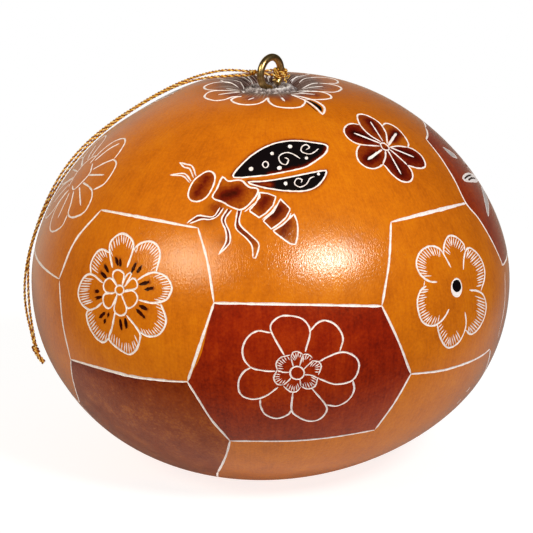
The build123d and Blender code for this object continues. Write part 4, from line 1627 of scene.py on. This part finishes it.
# Screw eye: one wire, bent into an open ring on a threaded shank
def eye_wire():
    ring_out = -np.array([math.cos(RING_TURN), math.sin(RING_TURN), 0.0])
    points = []
    for z in np.linspace(SHANK_TIP + 1.6, RING_MIDDLE - RING_RADIUS - 0.55, 60):
        points.append(np.array([0.0, 0.0, z]))
    for bend in np.linspace(0.1, 0.95, 6):
        lift = RING_MIDDLE - RING_RADIUS - 0.55 * (1 - math.sin(bend * math.pi / 2))
        points.append(np.array([0.0, 0.0, lift]) + ring_out * 0.5 * (1 - math.cos(bend * math.pi / 2)))
    for turn in np.linspace(0.24, 2 * math.pi - RING_GAP, 90):
        lift = RING_MIDDLE - RING_RADIUS * math.cos(turn)
        points.append(np.array([0.0, 0.0, lift]) + ring_out * RING_RADIUS * math.sin(turn))
    return np.array(points)


SHANK_RADIUS = WIRE_RADIUS - 0.16
SHANK_POINTS = 46
SCREW_TURNS = 8
wire_points = []
wire_faces = []
wire = eye_wire()
wire_radii = np.full(len(wire), WIRE_RADIUS)
wire_radii[:SHANK_POINTS] = SHANK_RADIUS
wire_radii[-1:] = 0.93 * WIRE_RADIUS
tube(wire, wire_radii, 24, wire_points, wire_faces)
tip = np.linspace(0, 1, 6)
tip_line = [(0, 0, SHANK_TIP + 1.7 - 1.65 * t) for t in tip]
tube(tip_line, np.maximum(0.03, SHANK_RADIUS * (1 - tip)), 16, wire_points, wire_faces)
coils = np.linspace(0, 2 * math.pi * SCREW_TURNS, 30 * SCREW_TURNS)
screw_reach = WIRE_RADIUS - 0.15
screw_rise = SHANK_TIP + 1.5 + 6.0 * np.linspace(0, 1, len(coils))
screw = np.stack([screw_reach * np.cos(coils), screw_reach * np.sin(coils), screw_rise], 1)
tube(screw, 0.14, 6, wire_points, wire_faces)
make_piece("brass_screw_eye", wire_points, wire_faces, "gourd", [brass], ("screw_eye",))


# Stem scar: a rough corky pad with a torn collar round the shank
SCAR_SIDES = 150
SCAR_ROWS = 30
SCAR_EDGE = SEAT_RADIUS - 0.06
COLLAR_AT = 0.66
scar_points = []
scar_faces = []
soot = []
frost = []
ragged = noise_maker.uniform(-1, 1, (SCAR_ROWS + 1, SCAR_SIDES))
ragged = (ragged + np.roll(ragged, 1, 0) + np.roll(ragged, 1, 1)) / 1.7
spokes = noise_maker.uniform(-1, 1, SCAR_SIDES)
for row in range(SCAR_ROWS + 1):
    share = row / SCAR_ROWS
    radius = WIRE_RADIUS + 0.04 + (SCAR_EDGE - WIRE_RADIUS - 0.04) * share
    for k in range(SCAR_SIDES):
        turn = 2 * math.pi * k / SCAR_SIDES
        collar = 0.62 + 0.2 * math.cos(turn - 0.5) + 0.14 * spokes[k]
        height = SCAR_TOP - 0.35 + 0.65 * min(1.0, share / 0.3)
        height += collar * math.exp(-(((share - COLLAR_AT) / 0.2) ** 2))
        height += 0.13 * ragged[row, k] * math.sin(math.pi * min(1.0, 0.1 + 0.8 * share))
        scar_points.append((radius * math.sin(turn), -radius * math.cos(turn), height))
        flecks = max(0.0, 0.6 * ragged[row, k] - 0.1)
        soot.append(max(0.0, 1 - share * 2.4) * 0.6 + flecks + max(0.0, share - 0.85) * 2.0)
        frost.append(math.exp(-(((share - COLLAR_AT) / 0.09) ** 2)) * (0.66 + 0.3 * math.cos(turn - 0.6)))
for row in range(SCAR_ROWS):
    for k in range(SCAR_SIDES):
        a = row * SCAR_SIDES + k
        b = row * SCAR_SIDES + (k + 1) % SCAR_SIDES
        scar_faces.append((a, a + SCAR_SIDES, b + SCAR_SIDES, b))
outer = [SCAR_ROWS * SCAR_SIDES + k for k in range(SCAR_SIDES)]
inner = list(range(SCAR_SIDES))
under_outer = list(range(len(scar_points), len(scar_points) + SCAR_SIDES))
scar_points.extend((scar_points[k][0], scar_points[k][1], SCAR_FLOOR) for k in outer)
under_inner = list(range(len(scar_points), len(scar_points) + SCAR_SIDES))
scar_points.extend((scar_points[k][0], scar_points[k][1], SCAR_FLOOR) for k in inner)
for k in range(SCAR_SIDES):
    after = (k + 1) % SCAR_SIDES
    scar_faces.append((outer[k], under_outer[k], under_outer[after], outer[after]))
    scar_faces.append((under_outer[k], under_inner[k], under_inner[after], under_outer[after]))
    scar_faces.append((under_inner[k], inner[k], inner[after], under_inner[after]))
soot.extend([1.0] * (len(scar_points) - len(soot)))
frost.extend([0.0] * (len(scar_points) - len(frost)))
scar = make_piece("corky_stem_scar", scar_points, scar_faces, "gourd", [corky], ("stem_scar",))
for name, values in (("soot", soot), ("frost", frost)):
    layer = scar.data.attributes.new(name, "FLOAT", "POINT")
    layer.data.foreach_set("value", np.clip(values, 0, 1))

# Floor, which is no part of the object: it fades into the white round about
floor_look, tree, shader = new_look("pale_floor")
light = tree.nodes.new("ShaderNodeLightPath").outputs
paint = add_mix(tree, light["Is Glossy Ray"], (0.34, 0.34, 0.34), (0.28, 0.28, 0.28))
shown = larger(tree, light["Is Camera Ray"], light["Is Transmission Ray"])
glow = times(tree, shown, 0.8)
glow = larger(tree, glow, times(tree, light["Is Diffuse Ray"], 0.85))
glow = larger(tree, glow, times(tree, light["Is Glossy Ray"], 0.04))
away = add_node(tree, "ShaderNodeVectorMath", {"operation": "LENGTH"}, Vector=object_place(tree))
fade = add_range(tree, away.outputs["Value"], 0.075, 0.108, 1.0, 0.0)
set_inputs(
    tree, shader, Base_Color=paint, Roughness=0.9, Specular_IOR_Level=0.1,
    Emission_Color=(1.0, 1.0, 1.0, 1.0), Emission_Strength=glow, Alpha=fade,
)
floor_look.cycles.emission_sampling = "NONE"
floor_mesh = bpy.data.meshes.new("floor")
FLOOR_HALF = 0.25
floor_corners = [(x * FLOOR_HALF, y * FLOOR_HALF, 0) for x, y in ((-1, -1), (1, -1), (1, 1), (-1, 1))]
floor_mesh.from_pydata(floor_corners, [], [(0, 1, 2, 3)])
floor_mesh.materials.append(floor_look)
floor = bpy.data.objects.new("floor", floor_mesh)
floor.location = (0.0, 0.05, 0.0)
scene.collection.objects.link(floor)

# World: white to the camera, and a pale backdrop behind and to the left in reflections
world = bpy.data.worlds.new("studio")
scene.world = world
world.use_nodes = True
world.cycles.sampling_method = "NONE"
tree = world.node_tree
tree.nodes.clear()
background = tree.nodes.new("ShaderNodeBackground")
output = tree.nodes.new("ShaderNodeOutputWorld")
tree.links.new(background.outputs["Background"], output.inputs["Surface"])
light = tree.nodes.new("ShaderNodeLightPath").outputs
direction = tree.nodes.new("ShaderNodeTexCoord").outputs["Generated"]
sides = add_node(tree, "ShaderNodeSeparateXYZ", Vector=direction).outputs
right = add_range(tree, sides["X"], -0.2, 0.25, 0.0, 0.32)
behind = minus(tree, sides["Y"], times(tree, sides["Z"], 0.5))
BACKDROP = ((0.42, 0.0), (0.47, 0.08), (0.62, 0.16), (0.8, 0.5))
levels = [(place, (level, level, level)) for place, level in BACKDROP]
backdrop = add_ramp(tree, minus(tree, behind, right), levels)
shown = larger(tree, light["Is Camera Ray"], light["Is Transmission Ray"])
mirrored = times(tree, light["Is Glossy Ray"], backdrop)
soft = times(tree, light["Is Diffuse Ray"], 0.4)
strength = larger(tree, larger(tree, shown, mirrored), soft)
tint = add_mix(tree, light["Is Glossy Ray"], (1.0, 1.0, 1.0), (1.0, 0.84, 0.68))
set_inputs(tree, background, Color=tint, Strength=strength)


# Lamps
def soft_lamp(name, turn, elevation, distance, size, power, tint=(1.0, 1.0, 1.0)):
    lamp = bpy.data.lights.new(name, "AREA")
    lamp.shape = "ELLIPSE"
    lamp.size, lamp.size_y = size
    lamp.energy = power
    lamp.color = tint
    holder = bpy.data.objects.new(name, lamp)
    a = math.radians(turn)
    e = math.radians(elevation)
    away = Vector((math.sin(a) * math.cos(e), -math.cos(a) * math.cos(e), math.sin(e)))
    holder.location = Vector((0, 0, 0.03)) + away * distance
    holder.rotation_euler = away.to_track_quat("Z", "Y").to_euler()
    scene.collection.objects.link(holder)


soft_lamp("front_lamp", 32.0, 37.0, 0.75, (0.19, 0.175), 3.6)
soft_lamp("left_lamp", -45.0, 33.0, 0.8, (0.36, 0.28), 2.4, (1.0, 0.9, 0.7))

# Camera
camera_data = bpy.data.cameras.new("photograph_view")
camera_data.sensor_width = SENSOR_WIDTH
camera_data.lens = FOCAL_PIXELS / IMAGE_SIZE * SENSOR_WIDTH
camera_data.clip_start = 0.01
camera_data.clip_end = 20.0
camera = bpy.data.objects.new("photograph_view", camera_data)
scene.collection.objects.link(camera)
aim = GOURD_MIDDLE + (
    view_right * (IMAGE_SIZE / 2 - GOURD_MIDDLE_PIXEL[0]) + view_up * (GOURD_MIDDLE_PIXEL[1] - IMAGE_SIZE / 2)
) * VIEW_DISTANCE / FOCAL_PIXELS
camera.location = Vector(camera_place * MM)
camera.rotation_euler = Vector((aim - camera_place) * MM).to_track_quat("-Z", "Y").to_euler()
scene.camera = camera
